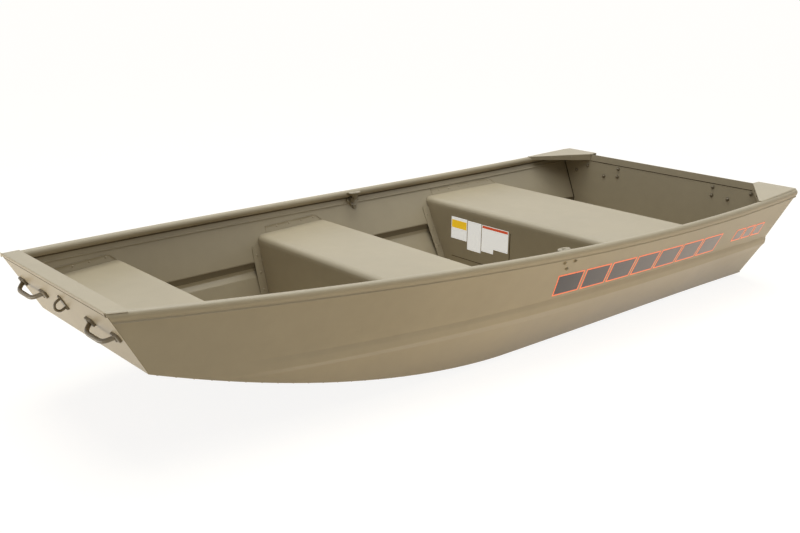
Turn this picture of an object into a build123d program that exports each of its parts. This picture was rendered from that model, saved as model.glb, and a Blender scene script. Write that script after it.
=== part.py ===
from build123d import *
import os
from math import hypot, sqrt

# Flat-bottomed riveted aluminium jon boat, in millimetres.
# It is drawn with x forward from the top of the transom's aft face, y to port and z up.
# At the end it moves aft, so that the origin is under the middle of its length, at the
# underside of the keels.

# Hull lines: each row of the table holds a size at the stern, at one third and at two
# thirds of the length, and at the bow
HULL_LENGTH = 2981
HALF_BEAM = (588, 600, 515, 333.5)
SHEER_HEIGHT = (384.5, 370, 393, 436.4)
HALF_BOTTOM = (407, 407, 405.7, 327.3)
SPANS = 12

# Rocker of the bottom, rake of the bow plate and of the transom
ROCKER_START = 1558
ROCKER_POWER = 1.76
BOW_FOOT_RISE = 253
BOW_RAKE = 117
TRANSOM_RAKE = 48

# Pressed step along each side, at the same four places: drops below the middle of the
# gunwale tube, and how far its edge and its foot stand out from a straight flare
STEP_TOP_DROP = (199, 171, 182, 176)
STEP_EDGE_DROP = (231, 207, 215, 220)
STEP_FOOT_DROP = (252, 242, 241, 240)
STEP_EDGE_OUT = (14, 22, 15, 15)
STEP_FOOT_OUT = (9, 17, 7, 0)
STEP_FADE_HEIGHT = 60
STEP_LEAST = 7

# Sheets and plates
SHEET = 1.6
BOW_PLATE_THICKNESS = 2.5
TRANSOM_THICKNESS = 34
TRIM_SHEET = 2
SEAM_GAP = 0.3
TRIM_GAP = 0.1

# Gunwale: a round tube with a slot below it that the side sheet stands in
TUBE_RADIUS = 15
SHEET_OUT = 8
SHEET_TOP_DROP = 11
SLOT_TOP_DROP = 10
APRON_DROP = 19
FLANGE_DROP = 40

# Seats: aft faces, depths and tops; the bow seat reaches aft from the bow's top edge
STERN_SEAT_AFT = 543
STERN_SEAT_DEPTH = 463
MIDDLE_SEAT_AFT = 1605
MIDDLE_SEAT_DEPTH = 345
BOW_SEAT_REACH = 416
SEAT_TOP = 301
BOW_SEAT_TOP = 340.5
SEAT_EDGE_RADIUS = 26

# Riveted flanges of the seats on the hull sides: along the top, and up the faces
SEAT_FLANGE_HEIGHT = 25
SEAT_FLANGE_LAP = 20
SEAT_FLANGE_SLANT = 32
SEAT_FLANGE_AFT_MARGIN = 5
SEAT_FLANGE_FORWARD_MARGIN = 48
SEAT_FLANGE_THICKNESS = 1.5
SEAT_UPRIGHT_WIDTH = 36
SEAT_UPRIGHT_DROP = 30

# Keels under the bottom and ribs across the floor
KEEL_HEIGHT = 12
KEEL_TOP_WIDTH = 34
KEEL_FOOT_WIDTH = 18
KEEL_SPACING = 250
KEEL_AFT = 40
KEEL_BOW_MARGIN = 60
RIB_BASE = 60
RIB_CROWN = 28
RIB_HEIGHT = 16
RIB_SIDE_GAP = 24

# Caps and corner gussets
BOW_CAP_WIDTH = 60
BOW_CAP_LIP = 9
TRANSOM_CAP_LEG = 30
GUSSET_LENGTH = 292
GUSSET_STERN_REACH = 154
GUSSET_FORWARD_REACH = 20
GUSSET_LIP = 28
GUSSET_LIP_FORWARD = 14

# Lifting handles on the bow plate and on the transom
HANDLE_FEET_SPACING = 152
HANDLE_BAR_DIAMETER = 12
HANDLE_STAND_OFF = 36
HANDLE_LEG_SPLAY = 24
HANDLE_BEND_RADIUS = 18
HANDLE_PAD_LENGTH = 40
HANDLE_PAD_WIDTH = 24
HANDLE_PAD_THICKNESS = 7
HANDLE_SINK = 1
BOW_HANDLE_OFFSET = 229
BOW_HANDLE_DOWN = 100
STERN_HANDLE_OFFSET = 335
STERN_HANDLE_GAP = 24

# Bow eye: a U bar on a pad, for the painter line or a winch hook
EYE_PAD_LENGTH = 52
EYE_PAD_WIDTH = 20
EYE_PAD_THICKNESS = 4
EYE_BAR_DIAMETER = 8
EYE_RADIUS = 16
EYE_LEG = 10
EYE_DOWN = 84

# Oarlock sockets inside the gunwales
OARLOCK_PLACE = 1430
OARLOCK_BORE = 13
OARLOCK_BOSS_DIAMETER = 27
OARLOCK_BOSS_ABOVE = 10
OARLOCK_BOSS_BELOW = 34
OARLOCK_PLATE_THICKNESS = 5
OARLOCK_LOBE_RADIUS = 10
OARLOCK_LOBE_SPACING = 48
OARLOCK_LOBE_DROP = 28
OARLOCK_PLATE_CENTRE_DROP = 29
OARLOCK_WEB_WIDTH = 20

# Drain tube through the foot of the transom
DRAIN_BORE = 25.4
DRAIN_WALL = 1.5
DRAIN_FLANGE = 44
DRAIN_FLANGE_THICKNESS = 2
DRAIN_HEIGHT = 34

# Room for the cutting prisms, past the widest part of the hull
CLEAR_OF_HULL = 900


def through_thirds(values, share):
    """The cubic through four values, given at 0, 1/3, 2/3 and 1 of the length."""
    places = (0, 1 / 3, 2 / 3, 1)
    total = 0
    for value, place in zip(values, places):
        weight = 1
        for other in places:
            if other != place:
                weight *= (share - other) / (place - other)
        total += value * weight
    return total


def rocker(x):
    """Height of the bottom above its flat stretch."""
    run = HULL_LENGTH - BOW_RAKE - ROCKER_START
    return BOW_FOOT_RISE * max((x - ROCKER_START) / run, 0) ** ROCKER_POWER


STATIONS = [HULL_LENGTH * i / SPANS for i in range(SPANS + 1)]


def drawn_at(x, size):
    """A hull size at x, straight between the stations on either side."""
    i = min(max(int(x * SPANS / HULL_LENGTH), 0), SPANS - 1)
    before, after = STATIONS[i], STATIONS[i + 1]
    share = (x - before) / (after - before)
    return size(before) * (1 - share) + size(after) * share


def half_beam(x):
    return drawn_at(x, lambda s: through_thirds(HALF_BEAM, s / HULL_LENGTH))


def sheer(x):
    """Height of the middle of the gunwale tube."""
    return drawn_at(x, lambda s: through_thirds(SHEER_HEIGHT, s / HULL_LENGTH)) + KEEL_HEIGHT


def half_bottom(x):
    return drawn_at(x, lambda s: through_thirds(HALF_BOTTOM, s / HULL_LENGTH))


def step_size(table, x):
    return through_thirds(table, x / HULL_LENGTH)


def bottom(x):
    """Height of the underside of the bottom sheet."""
    return drawn_at(x, rocker) + KEEL_HEIGHT


def side_at_station(x):
    """Outer face of the port side at a station, as (y, z) points from the chine up.

    It is a flare with a step pressed outwards, which fades where the rising bottom
    meets it near the bow.
    """
    chine_y, chine_z = half_bottom(x), bottom(x)
    top_y, top_z = half_beam(x) + SHEET_OUT, sheer(x) - SHEET_TOP_DROP

    def flare(z):
        return chine_y + (top_y - chine_y) * (z - chine_z) / (top_z - chine_z)

    room = sheer(x) - step_size(STEP_FOOT_DROP, x) - chine_z
    fade = min(max(room / STEP_FADE_HEIGHT, 0), 1)
    foot = chine_z + max(room, SHEET + STEP_LEAST)
    edge = max(sheer(x) - step_size(STEP_EDGE_DROP, x), foot + STEP_LEAST)
    crown = max(sheer(x) - step_size(STEP_TOP_DROP, x), edge + STEP_LEAST)
    start = chine_z + SHEET
    return [
        (flare(start), start),
        (flare(foot) + step_size(STEP_FOOT_OUT, x) * fade, foot),
        (flare(edge) + step_size(STEP_EDGE_OUT, x) * fade, edge),
        (flare(crown), crown),
        (top_y, top_z),
    ]


SIDE_LINES = {station: side_at_station(station) for station in STATIONS}
FLARE_LINES = {station: [line[0], line[-1]] for station, line in SIDE_LINES.items()}


def moved_in(points, distance):
    """A side's line moved inwards at right angles to itself, cut level at both ends."""
    lines = []
    for (y0, z0), (y1, z1) in zip(points, points[1:]):
        length = hypot(y1 - y0, z1 - z0)
        shift = distance * length / (z1 - z0)
        lines.append((y0 - shift, z0, (y1 - y0) / (z1 - z0)))
    moved = [(lines[0][0], points[0][1])]
    for (ya, za, slope_a), (yb, zb, slope_b) in zip(lines, lines[1:]):
        if abs(slope_a - slope_b) < 1e-9:
            z = zb
        else:
            z = (yb - ya + slope_a * za - slope_b * zb) / (slope_a - slope_b)
        moved.append((ya + slope_a * (z - za), z))
    y, z, slope = lines[-1]
    end = points[-1][1]
    moved.append((y + slope * (end - z), end))
    return moved


def line_at(x, distance=0, lines=SIDE_LINES):
    """A side's line at x, from the chine up, so far in from the side's outer face."""
    moved = {station: moved_in(line, distance) for station, line in lines.items()}
    rows = range(len(moved[0]))
    ys = [drawn_at(x, lambda s, row=row: moved[s][row][0]) for row in rows]
    zs = [drawn_at(x, lambda s, row=row: moved[s][row][1]) for row in rows]
    return list(zip(ys, zs))


def places_between(start, end):
    """start and end, with the hull's stations that lie between them."""
    return [start] + [s for s in STATIONS if start < s < end] + [end]


def loft_along(start, end, outline):
    """Solid between the flat outlines that outline(x) gives as (y, z) points."""
    faces = []
    for x in places_between(start, end):
        corners = [(x, y, z) for y, z in outline(x)]
        faces.append(Face(Wire.make_polygon(corners, close=True)))
    return Solid(loft(faces, ruled=True).wrapped)


def side_prism(points, half_width=CLEAR_OF_HULL):
    """Solid with an outline of (x, z) points, straight across the boat."""
    outline = make_face(Polyline(*points, close=True))
    return extrude(Plane.XZ * outline, amount=half_width, both=True)


def transom_face(z, forward=0):
    """x of the transom's aft face at height z, or of a face so far forward of it."""
    top = sheer(0) + TUBE_RADIUS
    return TRANSOM_RAKE * (top - z) / (top - KEEL_HEIGHT) + forward


def bow_face(z, aft=0):
    """x of the bow plate's outer face at height z, or of a face so far aft of it."""
    top = sheer(HULL_LENGTH) + TUBE_RADIUS
    foot = BOW_FOOT_RISE + KEEL_HEIGHT
    return HULL_LENGTH - BOW_RAKE * (top - z) / (top - foot) - aft


LOW = -60
HIGH = 700
FLANGE_OUTSIDE = SHEET + SEAM_GAP
FLANGE_INSIDE = FLANGE_OUTSIDE + SEAT_FLANGE_THICKNESS
BOW_SLOPE = hypot(BOW_RAKE, SHEER_HEIGHT[3] + TUBE_RADIUS - BOW_FOOT_RISE)
BOW_UP = (BOW_RAKE / BOW_SLOPE, sqrt(1 - (BOW_RAKE / BOW_SLOPE) ** 2))
BOW_PLATE_RUN = BOW_PLATE_THICKNESS / BOW_UP[1]


def between_ends(gap=0):
    """The space from the transom's aft face to the back of the bow plate."""
    aft = BOW_PLATE_RUN + gap
    return side_prism([
        (transom_face(LOW), LOW),
        (bow_face(LOW, aft), LOW),
        (bow_face(HIGH, aft), HIGH),
        (transom_face(HIGH), HIGH),
    ])


def skin(start, end, outside, inside, lines=SIDE_LINES):
    """A skin along the port side, between two distances in from its outer face."""
    def outline(x):
        return line_at(x, outside, lines) + line_at(x, inside, lines)[::-1]
    return loft_along(start, end, outline)


def hold(start, end):
    """The space for a seat across the hull, between the flanges on its straight flare."""
    def outline(x):
        foot, top = line_at(x, FLANGE_INSIDE + SEAM_GAP, FLARE_LINES)
        port = [(foot[0], foot[1] + SEAM_GAP), top]
        return port + [(-y, z) for y, z in port[::-1]]
    return loft_along(start, end, outline)


def pair(name, port):
    """A port piece and its mirror image, as two named nodes."""
    return {f"{name}_port": port, f"{name}_starboard": mirror(port, Plane.XZ)}


def hull_bottom():
    def outline(x):
        y, z = half_bottom(x), bottom(x)
        return [(-y, z), (y, z), (y, z + SHEET), (-y, z + SHEET)]
    return loft_along(0, HULL_LENGTH, outline) & between_ends()


def hull_side():
    return skin(0, HULL_LENGTH, 0, SHEET) & between_ends()


def gunwale():
    """Tube, outer apron and inner flange as one extruded section, bent to the sheer."""
    inner_line = SHEET + SEAM_GAP
    faces = []
    for x in STATIONS:
        (y0, z0), (y1, z1) = line_at(x)[-2:]
        slope = (y1 - y0) / (z1 - z0)
        stretch = sqrt(1 + slope ** 2)
        middle_y, middle_z = half_beam(x), sheer(x)

        def on_line(inwards, z):
            """Point at height z on a line so far inside the sheet's outer face."""
            return (y1 + slope * (z - z1) - inwards * stretch, z)

        def on_tube(inwards):
            """Where that line leaves the tube at its underside."""
            y, _ = on_line(inwards, middle_z)
            a = 1 + slope ** 2
            b = slope * (y - middle_y)
            c = (y - middle_y) ** 2 - TUBE_RADIUS ** 2
            z = middle_z + (-b - sqrt(b ** 2 - a * c)) / a
            return on_line(inwards, z)

        outer = on_tube(-SEAM_GAP - TRIM_SHEET)
        inner = on_tube(inner_line + TRIM_SHEET)
        corners = [
            inner,
            on_line(inner_line + TRIM_SHEET, middle_z - FLANGE_DROP),
            on_line(inner_line, middle_z - FLANGE_DROP),
            on_line(inner_line, middle_z - SLOT_TOP_DROP),
            on_line(-SEAM_GAP, middle_z - SLOT_TOP_DROP),
            on_line(-SEAM_GAP, middle_z - APRON_DROP),
            on_line(-SEAM_GAP - TRIM_SHEET, middle_z - APRON_DROP),
            outer,
        ]
        across = TUBE_RADIUS * sqrt(0.5)
        crown = (x, middle_y, middle_z + TUBE_RADIUS)
        port_side = (x, middle_y + across, middle_z + across)
        hold_side = (x, middle_y - across, middle_z + across)
        legs = Polyline(*[(x, y, z) for y, z in corners])
        wire = Wire([
            *legs.edges(),
            ThreePointArc((x, *outer), port_side, crown).edge(),
            ThreePointArc(crown, hold_side, (x, *inner)).edge(),
        ])
        faces.append(Face(wire))
    return loft(faces, ruled=True) & between_ends()


def bow_plate():
    foot_z = BOW_FOOT_RISE + KEEL_HEIGHT
    foot_y = half_bottom(bow_face(foot_z))
    top_z = sheer(HULL_LENGTH - BOW_PLATE_RUN) + TUBE_RADIUS
    top_y = half_beam(HULL_LENGTH) + TUBE_RADIUS
    outline = Polyline((-foot_y, foot_z), (foot_y, foot_z), (top_y, top_z), (-top_y, top_z), close=True)
    sheet = side_prism([
        (bow_face(LOW, BOW_PLATE_RUN), LOW),
        (bow_face(LOW), LOW),
        (bow_face(HIGH), HIGH),
        (bow_face(HIGH, BOW_PLATE_RUN), HIGH),
    ])
    return sheet & extrude(Plane.YZ * make_face(outline), amount=2 * HULL_LENGTH)


def bow_cap():
    """Flat strip over the ends of the gunwales, with a lip over the bow plate."""
    def outline(x):
        y = half_beam(x) + TUBE_RADIUS
        z = sheer(x) + TUBE_RADIUS + TRIM_GAP
        return [(-y, z), (y, z), (y, z + TRIM_SHEET), (-y, z + TRIM_SHEET)]
    strip = loft_along(HULL_LENGTH - BOW_CAP_WIDTH, HULL_LENGTH, outline)
    top = sheer(HULL_LENGTH) + TUBE_RADIUS
    edge = top + TRIM_GAP + TRIM_SHEET
    lip = side_prism([
        (bow_face(top - BOW_CAP_LIP), top - BOW_CAP_LIP),
        (bow_face(top - BOW_CAP_LIP) + TRIM_SHEET, top - BOW_CAP_LIP),
        (bow_face(edge) + TRIM_SHEET, edge),
        (HULL_LENGTH - TRIM_SHEET, edge),
        (HULL_LENGTH - TRIM_SHEET, top + TRIM_GAP),
        (HULL_LENGTH, top),
    ], half_beam(HULL_LENGTH) + TUBE_RADIUS)
    return strip + lip


def transom():
    """The transom's board and skins in one, between the side sheets and gunwales."""
    top = sheer(0) + TUBE_RADIUS - TRIM_SHEET - TRIM_GAP
    wall = side_prism([
        (transom_face(LOW), LOW),
        (transom_face(LOW, TRANSOM_THICKNESS), LOW),
        (transom_face(top, TRANSOM_THICKNESS), top),
        (transom_face(top), top),
    ])
    reach = transom_face(0, TRANSOM_THICKNESS)
    shoulder = min(sheer(0), sheer(reach)) - FLANGE_DROP - SEAM_GAP

    def lower_outline(x):
        line = line_at(x, SHEET + SEAM_GAP)
        port = [(line[0][0], line[0][1] + SEAM_GAP)] + line[1:-1]
        (y0, z0), (y1, z1) = line[-2:]
        port.append((y0 + (y1 - y0) * (shoulder - z0) / (z1 - z0), shoulder))
        return port + [(-y, z) for y, z in port[::-1]]

    neck = side_prism([(0, shoulder), (reach, shoulder), (reach, top), (0, top)], neck_width())
    body = loft_along(0, reach, lower_outline) + neck
    hole = Plane.YZ * Pos(0, DRAIN_HEIGHT + KEEL_HEIGHT) * Circle(DRAIN_BORE / 2 + DRAIN_WALL + TRIM_GAP)
    return (body & wall) - extrude(hole, amount=reach)


def neck_width():
    """The transom's half width at its top, inside the gunwale's tube and inner flange."""
    (y0, z0), (y1, z1) = line_at(0)[-2:]
    shoulder = sheer(0) - FLANGE_DROP
    slope = (y1 - y0) / (z1 - z0)
    flange = y1 + slope * (shoulder - z1) - (SHEET + 2 * SEAM_GAP + TRIM_SHEET) * sqrt(1 + slope ** 2)
    return min(half_beam(0) - TUBE_RADIUS - SEAM_GAP, flange)


def cap_foot():
    """Height of the lower edge of the folds over the transom's faces."""
    return sheer(0) + TUBE_RADIUS - TRIM_GAP - TRANSOM_CAP_LEG


def transom_cap():
    """Channel pressed over the top edge of the transom, between the corner gussets."""
    top = sheer(0) + TUBE_RADIUS - TRIM_GAP
    foot = cap_foot()
    inner_top = top - TRIM_SHEET
    aft, forward = -TRIM_SHEET, TRANSOM_THICKNESS + TRIM_SHEET
    outer = [
        (transom_face(foot, aft), foot),
        (transom_face(foot, forward), foot),
        (transom_face(top, forward), top),
        (transom_face(top, aft), top),
    ]
    inner = [
        (transom_face(LOW), LOW),
        (transom_face(LOW, TRANSOM_THICKNESS), LOW),
        (transom_face(inner_top, TRANSOM_THICKNESS), inner_top),
        (transom_face(inner_top), inner_top),
    ]
    half_width = half_beam(0) - GUSSET_STERN_REACH - TRIM_GAP
    return side_prism(outer, half_width) - side_prism(inner)


def transom_gusset():
    """Corner plate over the gunwale and the transom.

    Its inner edge is folded down into a lip, and its aft edge over the transom's face.
    """
    start = TRANSOM_THICKNESS + TRIM_SHEET + SEAM_GAP
    stern_inner = half_beam(0) - GUSSET_STERN_REACH
    forward_inner = half_beam(GUSSET_LENGTH) - GUSSET_FORWARD_REACH

    def share(x):
        return max((x - start) / (GUSSET_LENGTH - start), 0)

    def inner_edge(x):
        return stern_inner + (forward_inner - stern_inner) * share(x)

    forward = transom_face(sheer(0) - GUSSET_LIP, start)
    fall = (sheer(0) - sheer(GUSSET_LENGTH)) / (GUSSET_LENGTH - forward)

    def underside(x):
        return sheer(0) + TUBE_RADIUS + TRIM_GAP - fall * max(x - forward, 0)

    def flat(x):
        low = underside(x)
        inner, outer = inner_edge(x), half_beam(x) + TUBE_RADIUS / 2
        return [(inner, low), (outer, low), (outer, low + TRIM_SHEET), (inner, low + TRIM_SHEET)]

    def folded(x):
        low = underside(x)
        lip = low - GUSSET_LIP - (GUSSET_LIP_FORWARD - GUSSET_LIP) * share(x)
        inner, outer = inner_edge(x), half_beam(x) + TUBE_RADIUS / 2
        return [
            (inner, lip),
            (inner + TRIM_SHEET, lip),
            (inner + TRIM_SHEET, low),
            (outer, low),
            (outer, low + TRIM_SHEET),
            (inner, low + TRIM_SHEET),
        ]
    top, foot = underside(0), cap_foot()
    fold = side_prism([
        (transom_face(foot, -TRIM_SHEET), foot),
        (transom_face(foot), foot),
        (transom_face(top), top),
        (transom_face(top, -TRIM_SHEET), top),
    ], neck_width())
    across = Pos(0, stern_inner, LOW) * Box(CLEAR_OF_HULL, CLEAR_OF_HULL, HIGH - LOW, align=(Align.CENTER, Align.MIN, Align.MIN))
    plate = loft_along(transom_face(top, -TRIM_SHEET), forward, flat) + loft_along(forward, GUSSET_LENGTH, folded)
    return plate + (fold & across)


def seat(aft, forward, top):
    """Closed seat box across the hull, from the floor up to its rounded forward edge."""
    block = Pos((aft + forward) / 2, 0, (LOW + top) / 2) * Box(forward - aft, 2 * CLEAR_OF_HULL, top - LOW)
    edge = block.edges().filter_by(Axis.Y).group_by(Axis.Z)[-1].sort_by(Axis.X)[-1]
    return hold(aft, forward) & fillet(edge, SEAT_EDGE_RADIUS)


def bow_seat(aft, top):
    """Closed box of the bow seat, from its aft face to the back of the bow plate."""
    block = side_prism([
        (aft, LOW),
        (bow_face(LOW, BOW_PLATE_RUN + SEAM_GAP), LOW),
        (bow_face(top, BOW_PLATE_RUN + SEAM_GAP), top),
        (aft, top),
    ])
    return hold(aft, HULL_LENGTH) & block


def seat_flanges(aft, forward, top, uprights):
    """Flanges of one seat on the port side: along its top, and up its faces."""
    start, end = aft - SEAT_UPRIGHT_WIDTH, forward + SEAT_UPRIGHT_WIDTH
    thin = skin(start, end, FLANGE_OUTSIDE, FLANGE_INSIDE, FLARE_LINES)
    strip_aft = aft + SEAT_FLANGE_AFT_MARGIN
    strip_forward = forward - SEAT_FLANGE_FORWARD_MARGIN
    strip = thin & side_prism([
        (strip_aft, top - SEAT_FLANGE_LAP),
        (strip_forward, top - SEAT_FLANGE_LAP),
        (strip_forward, top + SEAT_FLANGE_HEIGHT),
        (strip_aft + SEAT_FLANGE_SLANT, top + SEAT_FLANGE_HEIGHT),
        (strip_aft, top),
    ])
    pieces = [strip.solid()]
    for start in uprights:
        end = start + SEAT_UPRIGHT_WIDTH - SEAM_GAP
        low = max(bottom(start), bottom(end)) + SHEET + SEAM_GAP
        high = top - SEAT_UPRIGHT_DROP
        upright = thin & side_prism([(start, low), (end, low), (end, high), (start, high)])
        pieces.append(upright.solid())
    return Compound(pieces)


def floor_rib(x):
    """Hat-section rib riveted across the floor, resting on both edges of its base."""
    aft, forward = bottom(x - RIB_BASE / 2), bottom(x + RIB_BASE / 2)
    seat_z = (aft + forward) / 2 + SHEET + SEAM_GAP
    plane = Plane(origin=(x, 0, seat_z), x_dir=(RIB_BASE, 0, forward - aft), z_dir=(0, -1, 0))
    outline = Polyline(
        (-RIB_BASE / 2, 0),
        (RIB_BASE / 2, 0),
        (RIB_BASE / 2, TRIM_SHEET),
        (RIB_CROWN / 2 + TRIM_SHEET, TRIM_SHEET),
        (RIB_CROWN / 2, RIB_HEIGHT),
        (-RIB_CROWN / 2, RIB_HEIGHT),
        (-RIB_CROWN / 2 - TRIM_SHEET, TRIM_SHEET),
        (-RIB_BASE / 2, TRIM_SHEET),
        close=True,
    )
    reach = half_bottom(x) - RIB_SIDE_GAP
    return extrude(plane * make_face(outline), amount=reach, both=True)


def keel(y):
    """Tapered strip under the bottom, from near the transom to near the bow's foot."""
    def outline(x):
        top = bottom(x)
        return [
            (y - KEEL_TOP_WIDTH / 2, top),
            (y - KEEL_FOOT_WIDTH / 2, top - KEEL_HEIGHT),
            (y + KEEL_FOOT_WIDTH / 2, top - KEEL_HEIGHT),
            (y + KEEL_TOP_WIDTH / 2, top),
        ]
    return loft_along(KEEL_AFT, HULL_LENGTH - BOW_RAKE - KEEL_BOW_MARGIN, outline)


def handle():
    """Bent bar on two pads, drawn on the XY plane with its bar standing out along Z."""
    foot = HANDLE_FEET_SPACING / 2
    start = HANDLE_PAD_THICKNESS - HANDLE_SINK
    path = FilletPolyline(
        (-foot, 0, start),
        (-foot + HANDLE_LEG_SPLAY, 0, HANDLE_STAND_OFF),
        (foot - HANDLE_LEG_SPLAY, 0, HANDLE_STAND_OFF),
        (foot, 0, start),
        radius=HANDLE_BEND_RADIUS,
    )
    bar = sweep(Plane(path @ 0, z_dir=path % 0) * Circle(HANDLE_BAR_DIAMETER / 2), path)
    pad = Box(HANDLE_PAD_LENGTH, HANDLE_PAD_WIDTH, HANDLE_PAD_THICKNESS, align=(Align.CENTER, Align.CENTER, Align.MIN))
    pad = fillet(pad.edges().filter_by(Axis.Z), HANDLE_PAD_WIDTH / 5)
    return bar + Pos(-foot, 0) * pad + Pos(foot, 0) * pad


def bow_plane(down, y):
    """Plane on the bow plate's outer face, its X to port and its Z out of the plate."""
    up_x, up_z = BOW_UP
    top = sheer(HULL_LENGTH) + TUBE_RADIUS
    place = (HULL_LENGTH - down * up_x, y, top - down * up_z)
    return Plane(origin=place, x_dir=(0, 1, 0), z_dir=(up_z, 0, -up_x)).offset(TRIM_GAP)


def transom_plane(z, y):
    """Plane on the transom's aft face, its X to starboard and its Z aft."""
    slope = TRANSOM_RAKE / (SHEER_HEIGHT[0] + TUBE_RADIUS)
    return Plane(origin=(transom_face(z), y, z), x_dir=(0, -1, 0), z_dir=(-1, 0, -slope)).offset(TRIM_GAP)


def bow_eye():
    pad = Box(EYE_PAD_WIDTH, EYE_PAD_LENGTH, EYE_PAD_THICKNESS, align=(Align.CENTER, Align.CENTER, Align.MIN))
    pad = fillet(pad.edges().filter_by(Axis.Z), EYE_PAD_WIDTH / 4)
    start = EYE_PAD_THICKNESS / 2
    bend = EYE_PAD_THICKNESS + EYE_LEG
    path = Wire([
        Line((0, -EYE_RADIUS, start), (0, -EYE_RADIUS, bend)).edge(),
        ThreePointArc((0, -EYE_RADIUS, bend), (0, 0, bend + EYE_RADIUS), (0, EYE_RADIUS, bend)).edge(),
        Line((0, EYE_RADIUS, bend), (0, EYE_RADIUS, start)).edge(),
    ])
    bar = sweep(Plane(path @ 0, z_dir=path % 0) * Circle(EYE_BAR_DIAMETER / 2), path)
    return bow_plane(EYE_DOWN, 0) * (pad + bar)


def flange_plane(x, drop):
    """Plane on the gunwale's inner flange, its X forward and its Z into the boat."""
    def point(at, below):
        (y0, z0), (y1, z1) = line_at(at)[-2:]
        slope = (y1 - y0) / (z1 - z0)
        z = sheer(at) - below
        inwards = SHEET + 2 * SEAM_GAP + TRIM_SHEET
        return Vector(at, y1 + slope * (z - z1) - inwards * sqrt(1 + slope ** 2), z)
    along = point(x + 1, drop) - point(x - 1, drop)
    up = point(x, drop - 1) - point(x, drop)
    return Plane(origin=point(x, drop), x_dir=along, z_dir=along.cross(up))


def oarlock_boss_centre():
    """x and y of the port socket's bore, just inside the gunwale tube."""
    inside = TUBE_RADIUS + OARLOCK_BOSS_DIAMETER / 2 + 2 * SEAM_GAP
    return OARLOCK_PLACE, half_beam(OARLOCK_PLACE) - inside


def oarlock_socket():
    """Boss with an upright bore, on a three-lobed plate bolted to the inner flange."""
    x, y = oarlock_boss_centre()
    low = sheer(x) - OARLOCK_BOSS_BELOW
    height = OARLOCK_BOSS_ABOVE + OARLOCK_BOSS_BELOW
    upright = (Align.CENTER, Align.CENTER, Align.MIN)
    boss = Pos(x, y, low) * Cylinder(OARLOCK_BOSS_DIAMETER / 2, height, align=upright)
    plane = flange_plane(x, OARLOCK_PLATE_CENTRE_DROP)
    half = OARLOCK_LOBE_SPACING / 2
    lobes = Sketch() + [
        Pos(-half, 0) * Circle(OARLOCK_LOBE_RADIUS),
        Pos(half, 0) * Circle(OARLOCK_LOBE_RADIUS),
        Pos(0, -OARLOCK_LOBE_DROP) * Circle(OARLOCK_LOBE_RADIUS),
        make_face(Polyline((-half, OARLOCK_LOBE_RADIUS), (half, OARLOCK_LOBE_RADIUS), (0, -OARLOCK_LOBE_DROP), close=True)),
    ]
    plate = extrude(plane * lobes, amount=OARLOCK_PLATE_THICKNESS)
    web_top = sheer(x) - TUBE_RADIUS - SEAM_GAP
    reach = OARLOCK_PLATE_THICKNESS / 2
    web_end = plane.origin.Y - reach
    web = Pos(x, y, low) * Box(OARLOCK_WEB_WIDTH, web_end - y, web_top - low, align=(Align.CENTER, Align.MIN, Align.MIN))
    behind = extrude(plane * Rectangle(CLEAR_OF_HULL, CLEAR_OF_HULL), amount=-CLEAR_OF_HULL)
    bore = Pos(x, y, low) * Cylinder(OARLOCK_BORE / 2, 3 * height)
    return boss + plate + (web - behind) - bore


def drain_ends():
    """x of the drain tube's two ends, its flange flat against the raked transom."""
    z = DRAIN_HEIGHT + KEEL_HEIGHT
    aft = transom_face(z + DRAIN_FLANGE / 2) - TRIM_GAP - DRAIN_FLANGE_THICKNESS
    return aft, transom_face(z - DRAIN_FLANGE / 2, TRANSOM_THICKNESS)


def drain_tube():
    """Flanged tube through the transom, open from the hold to the outside."""
    start, end = drain_ends()
    level = Plane(origin=(start, 0, DRAIN_HEIGHT + KEEL_HEIGHT), x_dir=(0, 1, 0), z_dir=(1, 0, 0))
    outer = DRAIN_BORE / 2 + DRAIN_WALL
    tube = extrude(level * Circle(outer), amount=end - start)
    flange = extrude(level * Circle(DRAIN_FLANGE / 2), amount=DRAIN_FLANGE_THICKNESS)
    return tube + flange - extrude(level * Circle(DRAIN_BORE / 2), amount=end - start)


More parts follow.
